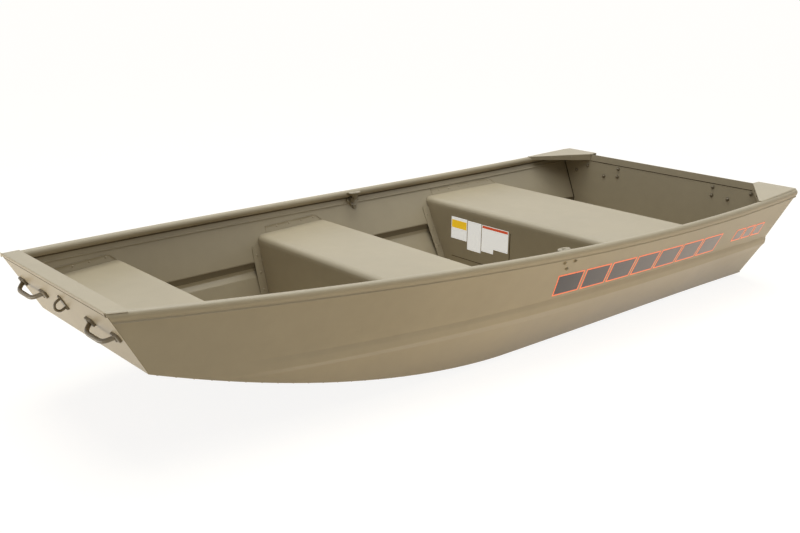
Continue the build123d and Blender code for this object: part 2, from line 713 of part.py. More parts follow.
def build():
    seat_top = SEAT_TOP + KEEL_HEIGHT
    bow_top = BOW_SEAT_TOP + KEEL_HEIGHT
    stern_forward = STERN_SEAT_AFT + STERN_SEAT_DEPTH
    middle_forward = MIDDLE_SEAT_AFT + MIDDLE_SEAT_DEPTH
    bow_aft = HULL_LENGTH - BOW_SEAT_REACH
    handle_height = cap_foot() - STERN_HANDLE_GAP - HANDLE_PAD_WIDTH / 2
    nodes = {
        "hull_bottom": hull_bottom(),
        "bow_plate": bow_plate(),
        "bow_cap": bow_cap(),
        "transom": transom(),
        "transom_cap": transom_cap(),
        "bow_seat": bow_seat(bow_aft, bow_top),
        "middle_seat": seat(MIDDLE_SEAT_AFT, middle_forward, seat_top),
        "stern_seat": seat(STERN_SEAT_AFT, stern_forward, seat_top),
        "bow_eye": bow_eye(),
        "drain_tube": drain_tube(),
        "keel_centre": keel(0),
        "keel_port": keel(KEEL_SPACING),
        "keel_starboard": keel(-KEEL_SPACING),
    }
    nodes |= pair("hull_side", hull_side())
    nodes |= pair("gunwale", gunwale())
    nodes |= pair("transom_gusset", transom_gusset())
    nodes |= pair("oarlock_socket", oarlock_socket())
    nodes |= pair("bow_handle", bow_plane(BOW_HANDLE_DOWN, BOW_HANDLE_OFFSET) * handle())
    nodes |= pair("stern_handle", transom_plane(handle_height, STERN_HANDLE_OFFSET) * handle())

    # Columns: name, aft face, forward face, top, starts of the upright flanges
    step = SEAT_UPRIGHT_WIDTH
    seats = [
        ("bow", bow_aft, HULL_LENGTH - BOW_RAKE, bow_top, [bow_aft - step]),
        ("middle", MIDDLE_SEAT_AFT, middle_forward, seat_top, [MIDDLE_SEAT_AFT - step, middle_forward + SEAM_GAP]),
        ("stern", STERN_SEAT_AFT, stern_forward, seat_top, [STERN_SEAT_AFT - step, stern_forward + SEAM_GAP]),
    ]
    for name, aft, forward, top, uprights in seats:
        nodes |= pair(f"seat_flange_{name}", seat_flanges(aft, forward, top, uprights))

    # Columns: name, space between the pieces before and after it
    ribs = [
        ("stern", transom_face(KEEL_HEIGHT, TRANSOM_THICKNESS), STERN_SEAT_AFT),
        ("middle", stern_forward, MIDDLE_SEAT_AFT),
        ("forward", middle_forward, bow_aft),
    ]
    for name, after, before in ribs:
        nodes[f"floor_rib_{name}"] = floor_rib((after + before) / 2)
    return nodes


def main():
    nodes = build()
    box = Compound([solid for node in nodes.values() for solid in node.solids()]).bounding_box()
    middle = (box.min.X + box.max.X) / 2
    os.makedirs("parts", exist_ok=True)
    for name, node in nodes.items():
        export_step(Pos(-middle, 0, 0) * node, f"parts/{name}.step")
    x, y = oarlock_boss_centre()
    print(f"moved aft by {middle:.3f}")
    print(f"oarlock bore at x {x - middle:.3f}, y {y:.3f}, sheer {sheer(x):.3f}")
    aft, forward = drain_ends()
    print(f"drain tube from x {aft - middle:.3f} to {forward - middle:.3f}")
    print(f"length {box.size.X:.1f}, beam {box.size.Y:.1f}, height {box.size.Z:.1f}")


main()
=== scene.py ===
# %% [markdown]
# # A riveted aluminium jon boat
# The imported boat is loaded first. Its solids say where everything is. The sheets, rails
# and fittings are then made again as smooth surfaces, and each stands for its solid.

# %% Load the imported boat
import bpy
import numpy as np
from math import radians
from mathutils import Matrix


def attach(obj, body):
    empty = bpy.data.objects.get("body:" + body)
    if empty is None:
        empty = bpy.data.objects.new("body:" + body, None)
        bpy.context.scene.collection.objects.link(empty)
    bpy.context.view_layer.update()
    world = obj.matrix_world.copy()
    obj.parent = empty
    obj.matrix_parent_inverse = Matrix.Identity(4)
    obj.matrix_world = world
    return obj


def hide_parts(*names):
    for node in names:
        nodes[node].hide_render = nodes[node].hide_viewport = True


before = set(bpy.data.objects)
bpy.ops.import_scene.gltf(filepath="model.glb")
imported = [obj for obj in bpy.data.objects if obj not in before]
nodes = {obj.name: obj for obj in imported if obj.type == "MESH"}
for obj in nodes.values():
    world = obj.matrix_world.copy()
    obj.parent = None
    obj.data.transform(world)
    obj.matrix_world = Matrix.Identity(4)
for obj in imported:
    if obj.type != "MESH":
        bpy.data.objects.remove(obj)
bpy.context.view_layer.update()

print("nodes loaded:", len(nodes))

# %% [markdown]
# ## The hull's sizes
# All lengths are in millimetres, with x forward from the top of the transom, y to port
# and z up from under the keels. The hull's lines are cubics through four values, at the
# stern, at one third, at two thirds and at the bow.

# %% Sizes of the hull
TO_MIDDLE = 1475.169
HULL_LENGTH = 2981
HALF_BEAM = (588, 600, 515, 333.5)
SHEER_HEIGHT = (384.5, 370, 393, 436.4)
HALF_BOTTOM = (407, 407, 405.7, 327.3)
ROCKER_START = 1558
ROCKER_POWER = 1.76
BOW_FOOT_RISE = 253
BOW_RAKE = 117
TRANSOM_RAKE = 48
KEEL_HEIGHT = 12

STEP_TOP_DROP = (207, 174, 184, 178)
STEP_EDGE_DROP = (233, 212, 221, 224)
STEP_FOOT_DROP = (252, 242, 241, 240)
STEP_EDGE_OUT = (14, 22, 15, 15)
STEP_FOOT_OUT = (9, 17, 7, 0)
STEP_FADE_HEIGHT = 60
STEP_LEAST = 7

STERN_SEAT = (543, 1006)
MIDDLE_SEAT = (1605, 1950)
BOW_SEAT_AFT = HULL_LENGTH - 416
SEAT_TOP = 301 + KEEL_HEIGHT
BOW_SEAT_TOP = 340.5 + KEEL_HEIGHT

SHEET = 1.6
BOW_PLATE = 2.5
BOW_SLANT = 1.17
TRANSOM = 34
TRIM = 2
SEAM_GAP = 0.3
TRIM_GAP = 0.1
TUBE = 14.3
TUBE_SPACE = 15


# %% Lines of the hull
def thirds(values, x):
    """The cubic through four values at 0, 1/3, 2/3 and 1 of the length."""
    cubic = np.polyfit([0, 1 / 3, 2 / 3, 1], values, 3)
    return np.polyval(cubic, x / HULL_LENGTH)


def half_beam(x):
    return thirds(HALF_BEAM, x)


def sheer(x):
    """Height of the middle of the gunwale's tube."""
    return thirds(SHEER_HEIGHT, x) + KEEL_HEIGHT


def half_bottom(x):
    return thirds(HALF_BOTTOM, x)


def bottom(x):
    """Height of the bottom sheet: flat, then rising as a power of the distance."""
    run = HULL_LENGTH - BOW_RAKE - ROCKER_START
    share = np.maximum((x - ROCKER_START) / run, 0)
    return KEEL_HEIGHT + BOW_FOOT_RISE * share ** ROCKER_POWER


def transom_face(z, forward=0):
    """x of the transom's aft face at height z, or of a face so far forward of it."""
    top = SHEER_HEIGHT[0] + KEEL_HEIGHT + TUBE_SPACE
    return TRANSOM_RAKE * (top - z) / (top - KEEL_HEIGHT) + forward


def bow_face(z, aft=0):
    """x of the bow plate's outer face at height z, or of a face so far aft of it."""
    top = SHEER_HEIGHT[3] + KEEL_HEIGHT + TUBE_SPACE
    foot = BOW_FOOT_RISE + KEEL_HEIGHT
    return HULL_LENGTH - BOW_RAKE * (top - z) / (top - foot) - aft


def behind_bow(z, gap=0):
    """x of the bow plate's inner face at height z, where the raked plate is thicker in x."""
    return bow_face(z, BOW_PLATE * BOW_SLANT + gap)


print("beam over the tubes at one third:", round(2 * (float(half_beam(990)) + TUBE), 1), "mm")

# %% [markdown]
# ## Surfaces from numbers
# Every sheet is a grid of points, with a second skin one thickness behind it. Bars and
# rails are closed rings of points carried along a path.

# %% Meshes from grids and rings
ROWS = 121
LOOKS = 14
CURVE_POINTS = 6


def to_mesh(name, points, faces, angle=35):
    """One object from points in millimetres and faces, smooth up to an angle."""
    mesh = bpy.data.meshes.new(name)
    places = (np.asarray(points, float) - (TO_MIDDLE, 0, 0)) / 1000
    mesh.from_pydata(places.tolist(), [], [list(map(int, face)) for face in faces])
    mesh.validate()
    mesh.shade_smooth()
    mesh.set_sharp_from_angle(angle=radians(angle))
    piece = bpy.data.objects.new(name, mesh)
    bpy.context.scene.collection.objects.link(piece)
    return piece


def points_at(x, y, z):
    """Points from x, y and z, each a number or an array that fits the others."""
    return np.stack(np.broadcast_arrays(x, y, z), -1).astype(float)


def quads(a, b, c, d):
    """Faces from four index arrays of the same shape."""
    return np.stack([a, b, c, d], -1).reshape(-1, 4)


def normals_of(grid):
    """Unit normals of a grid: its steps along the first side crossed with the second."""
    across = np.cross(np.gradient(grid, axis=0), np.gradient(grid, axis=1))
    return across / np.linalg.norm(across, axis=-1, keepdims=True)


def sheet_parts(grid, thickness):
    """Points and faces of a grid with a wall: the wall goes against its normals."""
    rows, columns, _ = grid.shape
    back = grid - normals_of(grid) * thickness
    o = np.arange(rows * columns).reshape(rows, columns)
    b = o + rows * columns
    faces = [
        quads(o[:-1, :-1], o[1:, :-1], o[1:, 1:], o[:-1, 1:]),
        quads(b[:-1, :-1], b[:-1, 1:], b[1:, 1:], b[1:, :-1]),
        quads(o[1:, 0], o[:-1, 0], b[:-1, 0], b[1:, 0]),
        quads(o[:-1, -1], o[1:, -1], b[1:, -1], b[:-1, -1]),
        quads(o[0, :-1], o[0, 1:], b[0, 1:], b[0, :-1]),
        quads(o[-1, 1:], o[-1, :-1], b[-1, :-1], b[-1, 1:]),
    ]
    points = np.concatenate([grid.reshape(-1, 3), back.reshape(-1, 3)])
    return points, np.concatenate(faces)


def ring_parts(rings, caps=True):
    """Points and faces of closed rings carried along a path, with capped ends."""
    rows, around, _ = rings.shape
    n = np.arange(rows * around).reshape(rows, around)
    turn = np.roll(n, -1, axis=1)
    faces = quads(n[:-1], n[1:], turn[1:], turn[:-1]).tolist()
    if caps:
        faces += [n[0].tolist(), n[-1][::-1].tolist()]
    return rings.reshape(-1, 3), faces


def joined(parts):
    """Several lots of points and faces as one."""
    points, faces, start = [], [], 0
    for these, those in parts:
        points.append(np.asarray(these, float))
        faces += [[int(i) + start for i in face] for face in those]
        start += len(these)
    return np.concatenate(points), faces


def for_starboard(part):
    """The mirror image of a part, with its faces turned round again."""
    points, faces = part
    return points * (1, -1, 1), [list(face)[::-1] for face in faces]


def rounded(corners, radius, steps=CURVE_POINTS):
    """A line through corners, each inner corner swapped for a quadratic curve.

    The curve starts and ends at the radius from its corner. The first axis counts corners,
    the second is the coordinate.
    """
    corners = np.asarray(corners, float)
    radii = np.broadcast_to(radius, len(corners) - 2)
    line = [corners[0]]
    for before, corner, after, cut in zip(corners, corners[1:], corners[2:], radii):
        back, on = before - corner, after - corner
        far_back, far_on = np.linalg.norm(back, axis=0), np.linalg.norm(on, axis=0)
        start = corner + back * np.minimum(cut / far_back, 0.45)
        end = corner + on * np.minimum(cut / far_on, 0.45)
        t = np.linspace(0, 1, steps).reshape(-1, *[1] * corner.ndim)
        line.extend((1 - t) ** 2 * start + 2 * t * (1 - t) * corner + t ** 2 * end)
    line.append(corners[-1])
    return np.array(line)


def along_boat(section, columns):
    """A section carried from the transom's face to the back of the bow plate.

    Each column of the grid keeps its share of the way between the raked ends, and its x is
    put right again after each look at its height.
    """
    u = np.linspace(0, 1, ROWS)[:, None]
    x = HULL_LENGTH * u + np.zeros(columns)
    for _ in range(LOOKS):
        y, z = section(x)
        x = transom_face(z) + u * (behind_bow(z) - transom_face(z))
    return points_at(x, y, z)


pieces = []


def add(piece, slot, *stands_for):
    """Lets a piece ride on the boat and hides the solids it replaces. The slot is not used."""
    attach(piece, "root")
    if stands_for:
        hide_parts(*stands_for)
    pieces.append(piece)
    return piece


def both_sides(name, slot, part, node=None):
    """A port part and its mirror image, which may stand for a node on each side."""
    for side, shape in (("port", part), ("starboard", for_starboard(part))):
        add(to_mesh(f"{name}_{side}", *shape), slot, *([f"{node}_{side}"] if node else []))


# %% [markdown]
# ## Hull sides
# Each side is one sheet, pressed with a long step that fades near the bow. The five
# corners of its section change along the boat, and each one is rounded.

# %% Hull sides
CHINE_LAP = 12
FOLDS = (3, 3, 3, 6, 2.5)
SHOULDER_DOWN, SHOULDER_OUT = 0.4, 0.58
SIDE_TOP_OUT, SIDE_TOP_DROP = 8, 11


def flare_line(x):
    """y and z of the chine and of the side's top, and the slope of y between them."""
    chine_y, chine_z = half_bottom(x), bottom(x)
    top_y, top_z = half_beam(x) + SIDE_TOP_OUT, sheer(x) - SIDE_TOP_DROP
    return chine_y, chine_z, top_y, top_z, (top_y - chine_y) / (top_z - chine_z)


def on_flare(x, z, inside=0):
    """Half width at x and z on the straight flare, or on a line so far inside it."""
    chine_y, chine_z, _, _, slope = flare_line(x)
    return chine_y + slope * (z - chine_z) - inside * np.hypot(1, slope)


def side_corners(x):
    """The section's corners at x: lap, chine, foot, edge, shoulder and crown of the step, top."""
    chine_y, chine_z, top_y, top_z, _ = flare_line(x)

    def flare(z):
        return on_flare(x, z)

    room = sheer(x) - thirds(STEP_FOOT_DROP, x) - chine_z
    fade = np.clip(room / STEP_FADE_HEIGHT, 0, 1)
    foot = chine_z + np.maximum(room, SHEET + STEP_LEAST)
    edge = np.maximum(sheer(x) - thirds(STEP_EDGE_DROP, x), foot + STEP_LEAST)
    crown = np.maximum(sheer(x) - thirds(STEP_TOP_DROP, x), edge + STEP_LEAST)
    shoulder = crown + SHOULDER_DOWN * (edge - crown)
    return np.array([
        (chine_y - CHINE_LAP, chine_z),
        (chine_y, chine_z),
        (flare(foot) + thirds(STEP_FOOT_OUT, x) * fade, foot),
        (flare(edge) + thirds(STEP_EDGE_OUT, x) * fade, edge),
        (flare(shoulder) + SHOULDER_OUT * thirds(STEP_EDGE_OUT, x) * fade, shoulder),
        (flare(crown), crown),
        (top_y, top_z),
    ])


def side_section(x):
    """y and z of each column of the side: a column reads the section at its own x."""
    line = rounded(side_corners(x), FOLDS)
    return np.einsum("jcij->cij", line)


COLUMNS = 2 + CURVE_POINTS * len(FOLDS)
port_side = along_boat(side_section, COLUMNS)[:, ::-1]


def side_y(x, z, inside=0):
    """y of the port side's outer face at x and z, or of a face so far inside it."""
    flat = np.atleast_1d(np.asarray(x, float))
    high = np.broadcast_to(np.asarray(z, float), flat.shape)
    line = rounded(side_corners(flat), FOLDS)
    y = np.array([np.interp(h, line[:, 1, i], line[:, 0, i]) for i, h in enumerate(high)])
    return y - inside


both_sides("side_sheet", "khaki_paint", sheet_parts(port_side, SHEET), "hull_side")
print("hull side:", port_side.shape[0] * port_side.shape[1], "points a skin")

# %% [markdown]
# ## Bottom and keels
# The bottom is one sheet, flat aft and rising to the bow. Three keel strips are riveted
# under it, with their rivets down in a groove.

# %% Bottom sheet and keels
ACROSS = np.linspace(-1, 1, 9)
KEEL_AFT, KEEL_FORWARD = 40, HULL_LENGTH - BOW_RAKE - 60
KEELS = {"centre": 0, "port": 250, "starboard": -250}
KEEL_GROOVE = 9.6
KEEL_SECTION = rounded([
    (0, 0), (17, 0), (9.6, -11.9), (6.6, -11.9), (5.8, -KEEL_GROOVE),
    (-5.8, -KEEL_GROOVE), (-6.6, -11.9), (-9.6, -11.9), (-17, 0), (0, 0),
], 0.8, 3)[1:-1]


def bottom_section(x):
    """y and z across the bottom, as far as the laps of the side sheets."""
    return (half_bottom(x) - CHINE_LAP - SEAM_GAP) * ACROSS, bottom(x)


def keel_rings(middle):
    """The keel's section at each x, hung under the bottom sheet."""
    x = np.linspace(KEEL_AFT, KEEL_FORWARD, 90)[:, None]
    return points_at(x, middle + KEEL_SECTION[:, 0], bottom(x) + KEEL_SECTION[:, 1])


bottom_grid = along_boat(bottom_section, len(ACROSS))[:, ::-1]
add(to_mesh("bottom_sheet", *sheet_parts(bottom_grid, SHEET)), "khaki_paint", "hull_bottom")
for keel_name, middle in KEELS.items():
    keel = to_mesh(f"keel_strip_{keel_name}", *ring_parts(keel_rings(middle)))
    add(keel, "khaki_paint", f"keel_{keel_name}")

# %% [markdown]
# ## Gunwales
# The rail is one extrusion: a round tube, a short apron outside that ends in a bead, and a
# flange inside, with a slot between them that the side sheet stands in.

# %% Gunwales
ARC_POINTS, LEG_POINTS = 28, 12


def rail_section(x):
    """y and z round the rail at each x: down the flange, up the slot, over the tube."""
    slope = flare_line(x)[-1]
    middle_y, middle_z = half_beam(x), sheer(x)

    def on_line(inwards, drop):
        z = middle_z - drop
        return np.array([on_flare(x, z, inwards), z])

    def angle_on_tube(inwards):
        """Angle round the tube where a line at that distance meets its underside."""
        y, _ = on_line(inwards, 0)
        a, b = 1 + slope ** 2, slope * (y - middle_y)
        c = (y - middle_y) ** 2 - TUBE ** 2
        z = (-b - np.sqrt(np.maximum(b ** 2 - a * c, 0))) / a
        return np.arctan2(z, y + slope * z - middle_y)

    inner, outer = SHEET + SEAM_GAP, -SEAM_GAP
    start = angle_on_tube(outer - TRIM)
    end = angle_on_tube(inner + TRIM) + 2 * np.pi
    turns = [start + (end - start) * t for t in np.linspace(0, 1, ARC_POINTS)]
    arc = [np.array([middle_y + TUBE * np.cos(a), middle_z + TUBE * np.sin(a)]) for a in turns]
    # Columns: distance inside the flare, drop from the middle of the tube
    legs = [
        (inner + TRIM, 35), (inner + 4.2, 36), (inner + 4.2, 39), (inner + 2.6, 40.2), (inner, 39.6),
        (inner, 10), (outer, 10), (outer, 18.6), (outer - 2.2, 19.8), (outer - 5, 18.8),
        (outer - 5.2, 17), (outer - TRIM, 13.2),
    ]
    return np.einsum("jcij->cij", np.array(arc + [on_line(*leg) for leg in legs]))


rail = along_boat(rail_section, ARC_POINTS + LEG_POINTS)[:, ::-1]
both_sides("gunwale_rail", "khaki_paint", ring_parts(rail), "gunwale")

# %% Strips of painted shade along the inside
SHADE_SHEET, SHADE_LIFT = 0.4, 0.5
CREASE_DROP = np.array([20.4, 15.5])


def crease_section(x):
    """A thin strip of painted shade in the crease under the tube, on the inner flange."""
    z = sheer(x) - CREASE_DROP
    return on_flare(x, z, SHEET + SEAM_GAP + TRIM + SHADE_LIFT), z


def underside_section(x):
    """A strip of painted shade inside the boat, on the part of the step that faces down."""
    edge, shoulder, crown = side_corners(x)[3:6]
    low = shoulder + 0.4 * (edge - shoulder)
    high = crown + 0.15 * (shoulder - crown)
    y, z = np.einsum("jcij->cij", np.array([low, shoulder, high]))
    return y - (SHEET + 1.3), z


STRIPS = (("rail_crease_shade", crease_section, 2), ("step_shade", underside_section, 3))
for strip_name, section, columns in STRIPS:
    both_sides(strip_name, None, sheet_parts(along_boat(section, columns), SHADE_SHEET))

# %% [markdown]
# ## Bow plate and its cap
# The bow is closed by one flat plate. A folded strip lies over the ends of the rails, is
# bent round them at its own ends, and turns down over the plate's top edge.

# %% Bow plate and cap
FOOT_Z = BOW_FOOT_RISE + KEEL_HEIGHT
BOW_TOP = SHEER_HEIGHT[3] + KEEL_HEIGHT + TUBE_SPACE
foot_y = float(half_bottom(np.array(bow_face(FOOT_Z))))
top_y = HALF_BEAM[3] + TUBE_SPACE


def bow_grid():
    """The plate's outer face as a grid: a share of the way up and a share across."""
    up = np.linspace(0, 1, 24)[:, None]
    z = FOOT_Z + (BOW_TOP - FOOT_Z) * up
    y = (foot_y + (top_y - foot_y) * up) * np.linspace(1, -1, 41)
    return points_at(bow_face(z), y, z)


def lip_shade_strip(face, lip_z, depth, half_width):
    """A thin strip of painted shade across a face that looks forward, from a lip's edge to a depth under
    it.
    """
    z = lip_z - np.array([depth, 0.1])[:, None]
    y = half_width * np.linspace(1, -1, 31)
    return sheet_parts(points_at(face(z) + SHADE_LIFT, y, z), SHADE_SHEET)


add(to_mesh("bow_panel", *sheet_parts(bow_grid(), BOW_PLATE)), "khaki_paint", "bow_plate")

CAP_WIDTH, CAP_LIP, CAP_AHEAD, LIP_GAP = 60, 8.5, 1.5, 0.8
CAP_BEND = (8, 46)
BEND_POINTS, FLAT_POINTS = 7, 13
WRAP = TUBE_SPACE + TRIM_GAP + TRIM
cap_line = rounded([
    (HULL_LENGTH - CAP_WIDTH, float(sheer(HULL_LENGTH - CAP_WIDTH)) + WRAP),
    (HULL_LENGTH + CAP_AHEAD, float(sheer(HULL_LENGTH)) + WRAP),
    (bow_face(BOW_TOP - CAP_LIP) + TRIM + LIP_GAP, BOW_TOP - CAP_LIP),
], 5)
bend = np.radians(np.linspace(*CAP_BEND, BEND_POINTS))
end = np.ones(BEND_POINTS)
edge = np.concatenate([-bend[::-1], np.zeros(FLAT_POINTS), bend])
core = np.concatenate([-end, np.linspace(-1, 1, FLAT_POINTS), end])
cap_y = half_beam(np.minimum(cap_line[:, :1], HULL_LENGTH)) * core + WRAP * np.sin(edge)
cap_z = cap_line[:, 1:] - WRAP * (1 - np.cos(edge))
bow_cap = sheet_parts(points_at(cap_line[:, :1], cap_y, cap_z), TRIM)
add(to_mesh("bow_cap_strip", *bow_cap), "khaki_paint", "bow_cap")
# The dark strip under the cap's lip is painted shade.
bow_under_lip = lip_shade_strip(bow_face, BOW_TOP - CAP_LIP, 7.5, top_y - 6)
add(to_mesh("bow_seam_shade", *bow_under_lip), None)

# %% [markdown]
# ## Transom trim
# The board is a merged copy of its solid's mesh, with its top edge planed off a little
# towards the stern, under a pressed channel. At each corner a plate covers the rail and
# the transom. Its inner edge is folded into a lip, and its aft edge over the transom.

# %% Transom board
CAP_TOP = float(sheer(0)) + TUBE_SPACE - TRIM_GAP
CAP_FOOT = CAP_TOP - 30
AFT_FALL, FORWARD_FALL = 9, 0.7
TOP_ROW = CAP_TOP - 6
solid = nodes["transom"].data
corners = np.empty(3 * len(solid.vertices))
solid.vertices.foreach_get("co", corners)
corner_of = np.empty(len(solid.loops), int)
solid.loops.foreach_get("vertex_index", corner_of)
millimetres = (corners.reshape(-1, 3) * 1000 + (TO_MIDDLE, 0, 0)).round(3)
board, same = np.unique(millimetres, axis=0, return_inverse=True)
triangles = same.reshape(-1)[corner_of].reshape(-1, 3)
behind = 1 - (board[:, 0] - transom_face(board[:, 2])) / TRANSOM
fall = np.where(board[:, 2] > TOP_ROW, FORWARD_FALL + (AFT_FALL - FORWARD_FALL) * behind, 0)
board += points_at(TRANSOM_RAKE / (CAP_TOP - KEEL_HEIGHT) * fall, 0, -fall)
add(to_mesh("transom_board", board, triangles), "khaki_paint", "transom")

# %% Transom channel and corner gussets
GUSSET_LENGTH = 292
GUSSET_REACH = 7
STERN_INNER = HALF_BEAM[0] - 164
FORWARD_INNER = float(half_beam(GUSSET_LENGTH)) - GUSSET_REACH
LIP_DEPTH, LIP_TAPER = 30, 14
channel_line = rounded([
    (transom_face(CAP_FOOT, -TRIM), CAP_FOOT),
    (transom_face(CAP_TOP - AFT_FALL, -TRIM), CAP_TOP - AFT_FALL),
    (transom_face(CAP_TOP, TRANSOM + TRIM), CAP_TOP),
    (transom_face(CAP_FOOT, TRANSOM + TRIM), CAP_FOOT),
], 2)
channel_y = (STERN_INNER - TRIM_GAP) * np.linspace(-1, 1, 41)
channel = points_at(channel_line[:, :1], channel_y, channel_line[:, 1:])
add(to_mesh("transom_channel", *sheet_parts(channel, TRIM)), "khaki_paint", "transom_cap")
# The dark strip under the channel's inner edge is painted shade.
transom_under_lip = lip_shade_strip(lambda z: transom_face(z, TRANSOM), CAP_FOOT, 3.4, STERN_INNER - 2)
add(to_mesh("transom_seam_shade", *transom_under_lip), None)


def gusset_grids():
    """The plate with its lip, and the fold over the transom, as two grids for port.

    The plate's height falls with the rail, and its lip is deepest at the transom.
    """
    lip_start = TRANSOM + TRIM + SEAM_GAP + 4
    x = np.concatenate([[-TRIM, 0, 20, lip_start - 0.2], np.linspace(lip_start, GUSSET_LENGTH, 22)])
    share = np.clip((x - lip_start) / (GUSSET_LENGTH - lip_start), 0, 1)
    inner = STERN_INNER + (FORWARD_INNER - STERN_INNER) * share
    fall = (float(sheer(0)) - float(sheer(GUSSET_LENGTH))) * share
    top = float(sheer(0)) + WRAP - fall
    lip = np.where(x < lip_start, 2.2, LIP_DEPTH - LIP_TAPER * share)
    wrap = np.radians(np.linspace(20, 2, 7))[:, None]
    sunk = 3.4 * (wrap / wrap.max()) ** 2
    over_rail = [half_beam(x) + WRAP * np.sin(wrap), top - WRAP * (1 - np.cos(wrap)) - sunk]
    line = rounded(np.array([(half_beam(x), top), (inner, top), (inner, top - lip)]), 3)
    line = np.concatenate([np.stack(over_rail, 1), line])
    grid = points_at(x, line[:, 0], line[:, 1]).transpose(1, 0, 2)
    fold_z = np.array([CAP_FOOT, top[0] - 1])[:, None]
    fold_y = np.linspace(STERN_INNER, HALF_BEAM[0] - 18, 8)
    return grid[:, ::-1], points_at(transom_face(fold_z, -TRIM), fold_y, fold_z)


gusset = joined([sheet_parts(grid, TRIM) for grid in gusset_grids()])
both_sides("gusset_plate", "khaki_paint", gusset, "transom_gusset")

# %% [markdown]
# ## Seats
# The seats are closed boxes of bent sheet over foam. Their profile is rounded at the
# forward edge and carried across the boat as far as the flanges on the sides.

# %% Seats
FLANGE = 1.5
INSIDE = SHEET + 2 * SEAM_GAP + FLANGE


def filled(line, step):
    """The same line with more points, so that none are further apart than the step."""
    run = np.concatenate([[0], np.cumsum(np.linalg.norm(np.diff(line, axis=0), axis=1))])
    stops = np.union1d(run, np.arange(0, run[-1], step))
    return np.stack([np.interp(stops, run, column) for column in line.T], -1)


def bench(name, corners, radii, node):
    """A box: its profile in x and z, closed through the floor, carried across the boat."""
    line = filled(rounded(corners, radii, 9), 30)
    x, z = line[:, 0], np.maximum(line[:, 1], bottom(line[:, 0]) + SHEET + SEAM_GAP)
    shares = np.linspace(-1, 1, 33)[:, None]
    rings = points_at(x, on_flare(x, z, INSIDE) * shares, z)
    add(to_mesh(name, *ring_parts(rings[:, ::-1])), "khaki_paint", node)


for seat_name, (aft, forward) in (("stern", STERN_SEAT), ("middle", MIDDLE_SEAT)):
    profile = [(aft, 0), (aft, SEAT_TOP), (forward, SEAT_TOP), (forward, 0)]
    bench(f"{seat_name}_bench", profile, (5, 30), f"{seat_name}_seat")
seat_foot = FOOT_Z + 4
bow_profile = [
    (BOW_SEAT_AFT, 0), (BOW_SEAT_AFT, BOW_SEAT_TOP),
    (behind_bow(BOW_SEAT_TOP, SEAM_GAP), BOW_SEAT_TOP), (behind_bow(seat_foot, SEAM_GAP), seat_foot),
]
bench("bow_bench", bow_profile, (5, 1), "bow_seat")

# %% Floor ribs
RIBS = {
    "stern": (TRANSOM_RAKE + TRANSOM + STERN_SEAT[0]) / 2,
    "middle": (STERN_SEAT[1] + MIDDLE_SEAT[0]) / 2,
    "forward": (MIDDLE_SEAT[1] + BOW_SEAT_AFT) / 2,
}
RIB_HALF = 30
RIB_FOOT = 2
RIB_SHORT = 24
RIB_SECTION = rounded([
    (0, 0.05), (RIB_HALF, 0.05), (RIB_HALF, RIB_FOOT), (16, RIB_FOOT), (13.5, 16),
    (-13.5, 16), (-16, RIB_FOOT), (-RIB_HALF, RIB_FOOT), (-RIB_HALF, 0.05), (0, 0.05),
], 1.5, 4)[1:-1]
for rib_name, middle in RIBS.items():
    aft_z, forward_z = bottom(middle + np.array([-RIB_HALF, RIB_HALF]))
    tilt = (forward_z - aft_z) / (2 * RIB_HALF)
    reach = float(half_bottom(middle)) - RIB_SHORT
    base = (aft_z + forward_z) / 2 + SHEET + SEAM_GAP
    along, up = RIB_SECTION.T
    stops = np.linspace(-reach, reach, 3)[:, None]
    rings = points_at(middle + along - up * tilt, stops, base + along * tilt + up)
    add(to_mesh(f"floor_hat_{rib_name}", *ring_parts(rings)), "khaki_paint", f"floor_rib_{rib_name}")

# %% [markdown]
# ## Seat flanges
# Each seat is riveted to the sides through a bent flange: a strip along its top, cut at a
# slant behind, and an upright up each face. They follow the flare and bridge the step.

# %% Seat flanges
FLANGE_FACE = SHEET + SEAM_GAP + FLANGE
UPRIGHT = 36
UPRIGHT_DROP = 44
UPRIGHT_ARCH = 14
STRIP_RISE, STRIP_UNDER = 25, 20
CURL, CURL_FROM = 2.8, 0.78


def patch(x, low, high):
    """A grid on the port flare between two heights; its faces look into the boat.

    Towards its upper edge it curls off the side, a little more here and less there.
    """
    share = np.array([0, 0.3, 0.6, CURL_FROM, 0.86, 0.93, 1])
    x = x[:, None]
    z = low + (high - low)[:, None] * share
    lift = CURL * (1 + 0.3 * np.sin(x / 19)) * np.clip((share - CURL_FROM) / (1 - CURL_FROM), 0, 1) ** 1.6
    return points_at(x, on_flare(x, z, FLANGE_FACE + lift), z)


def top_strip(aft, forward, top):
    """A patch along a seat's top, cut at a slant behind."""
    rim = top + STRIP_RISE
    line = filled(rounded([(aft + 5, top), (aft + 37, rim), (forward - 48, rim)], 9), 24)
    return patch(line[:, 0], top - STRIP_UNDER, line[:, 1])


def upright(start, top):
    """A narrow patch whose top is half an ellipse."""
    turn = np.linspace(-np.pi / 2, np.pi / 2, 15)
    x = start + UPRIGHT / 2 + (UPRIGHT / 2 - 0.3) * np.sin(turn)
    foot = float(bottom(start + UPRIGHT)) + SHEET + SEAM_GAP
    return patch(x, foot, top - UPRIGHT_DROP + UPRIGHT_ARCH * np.cos(turn))


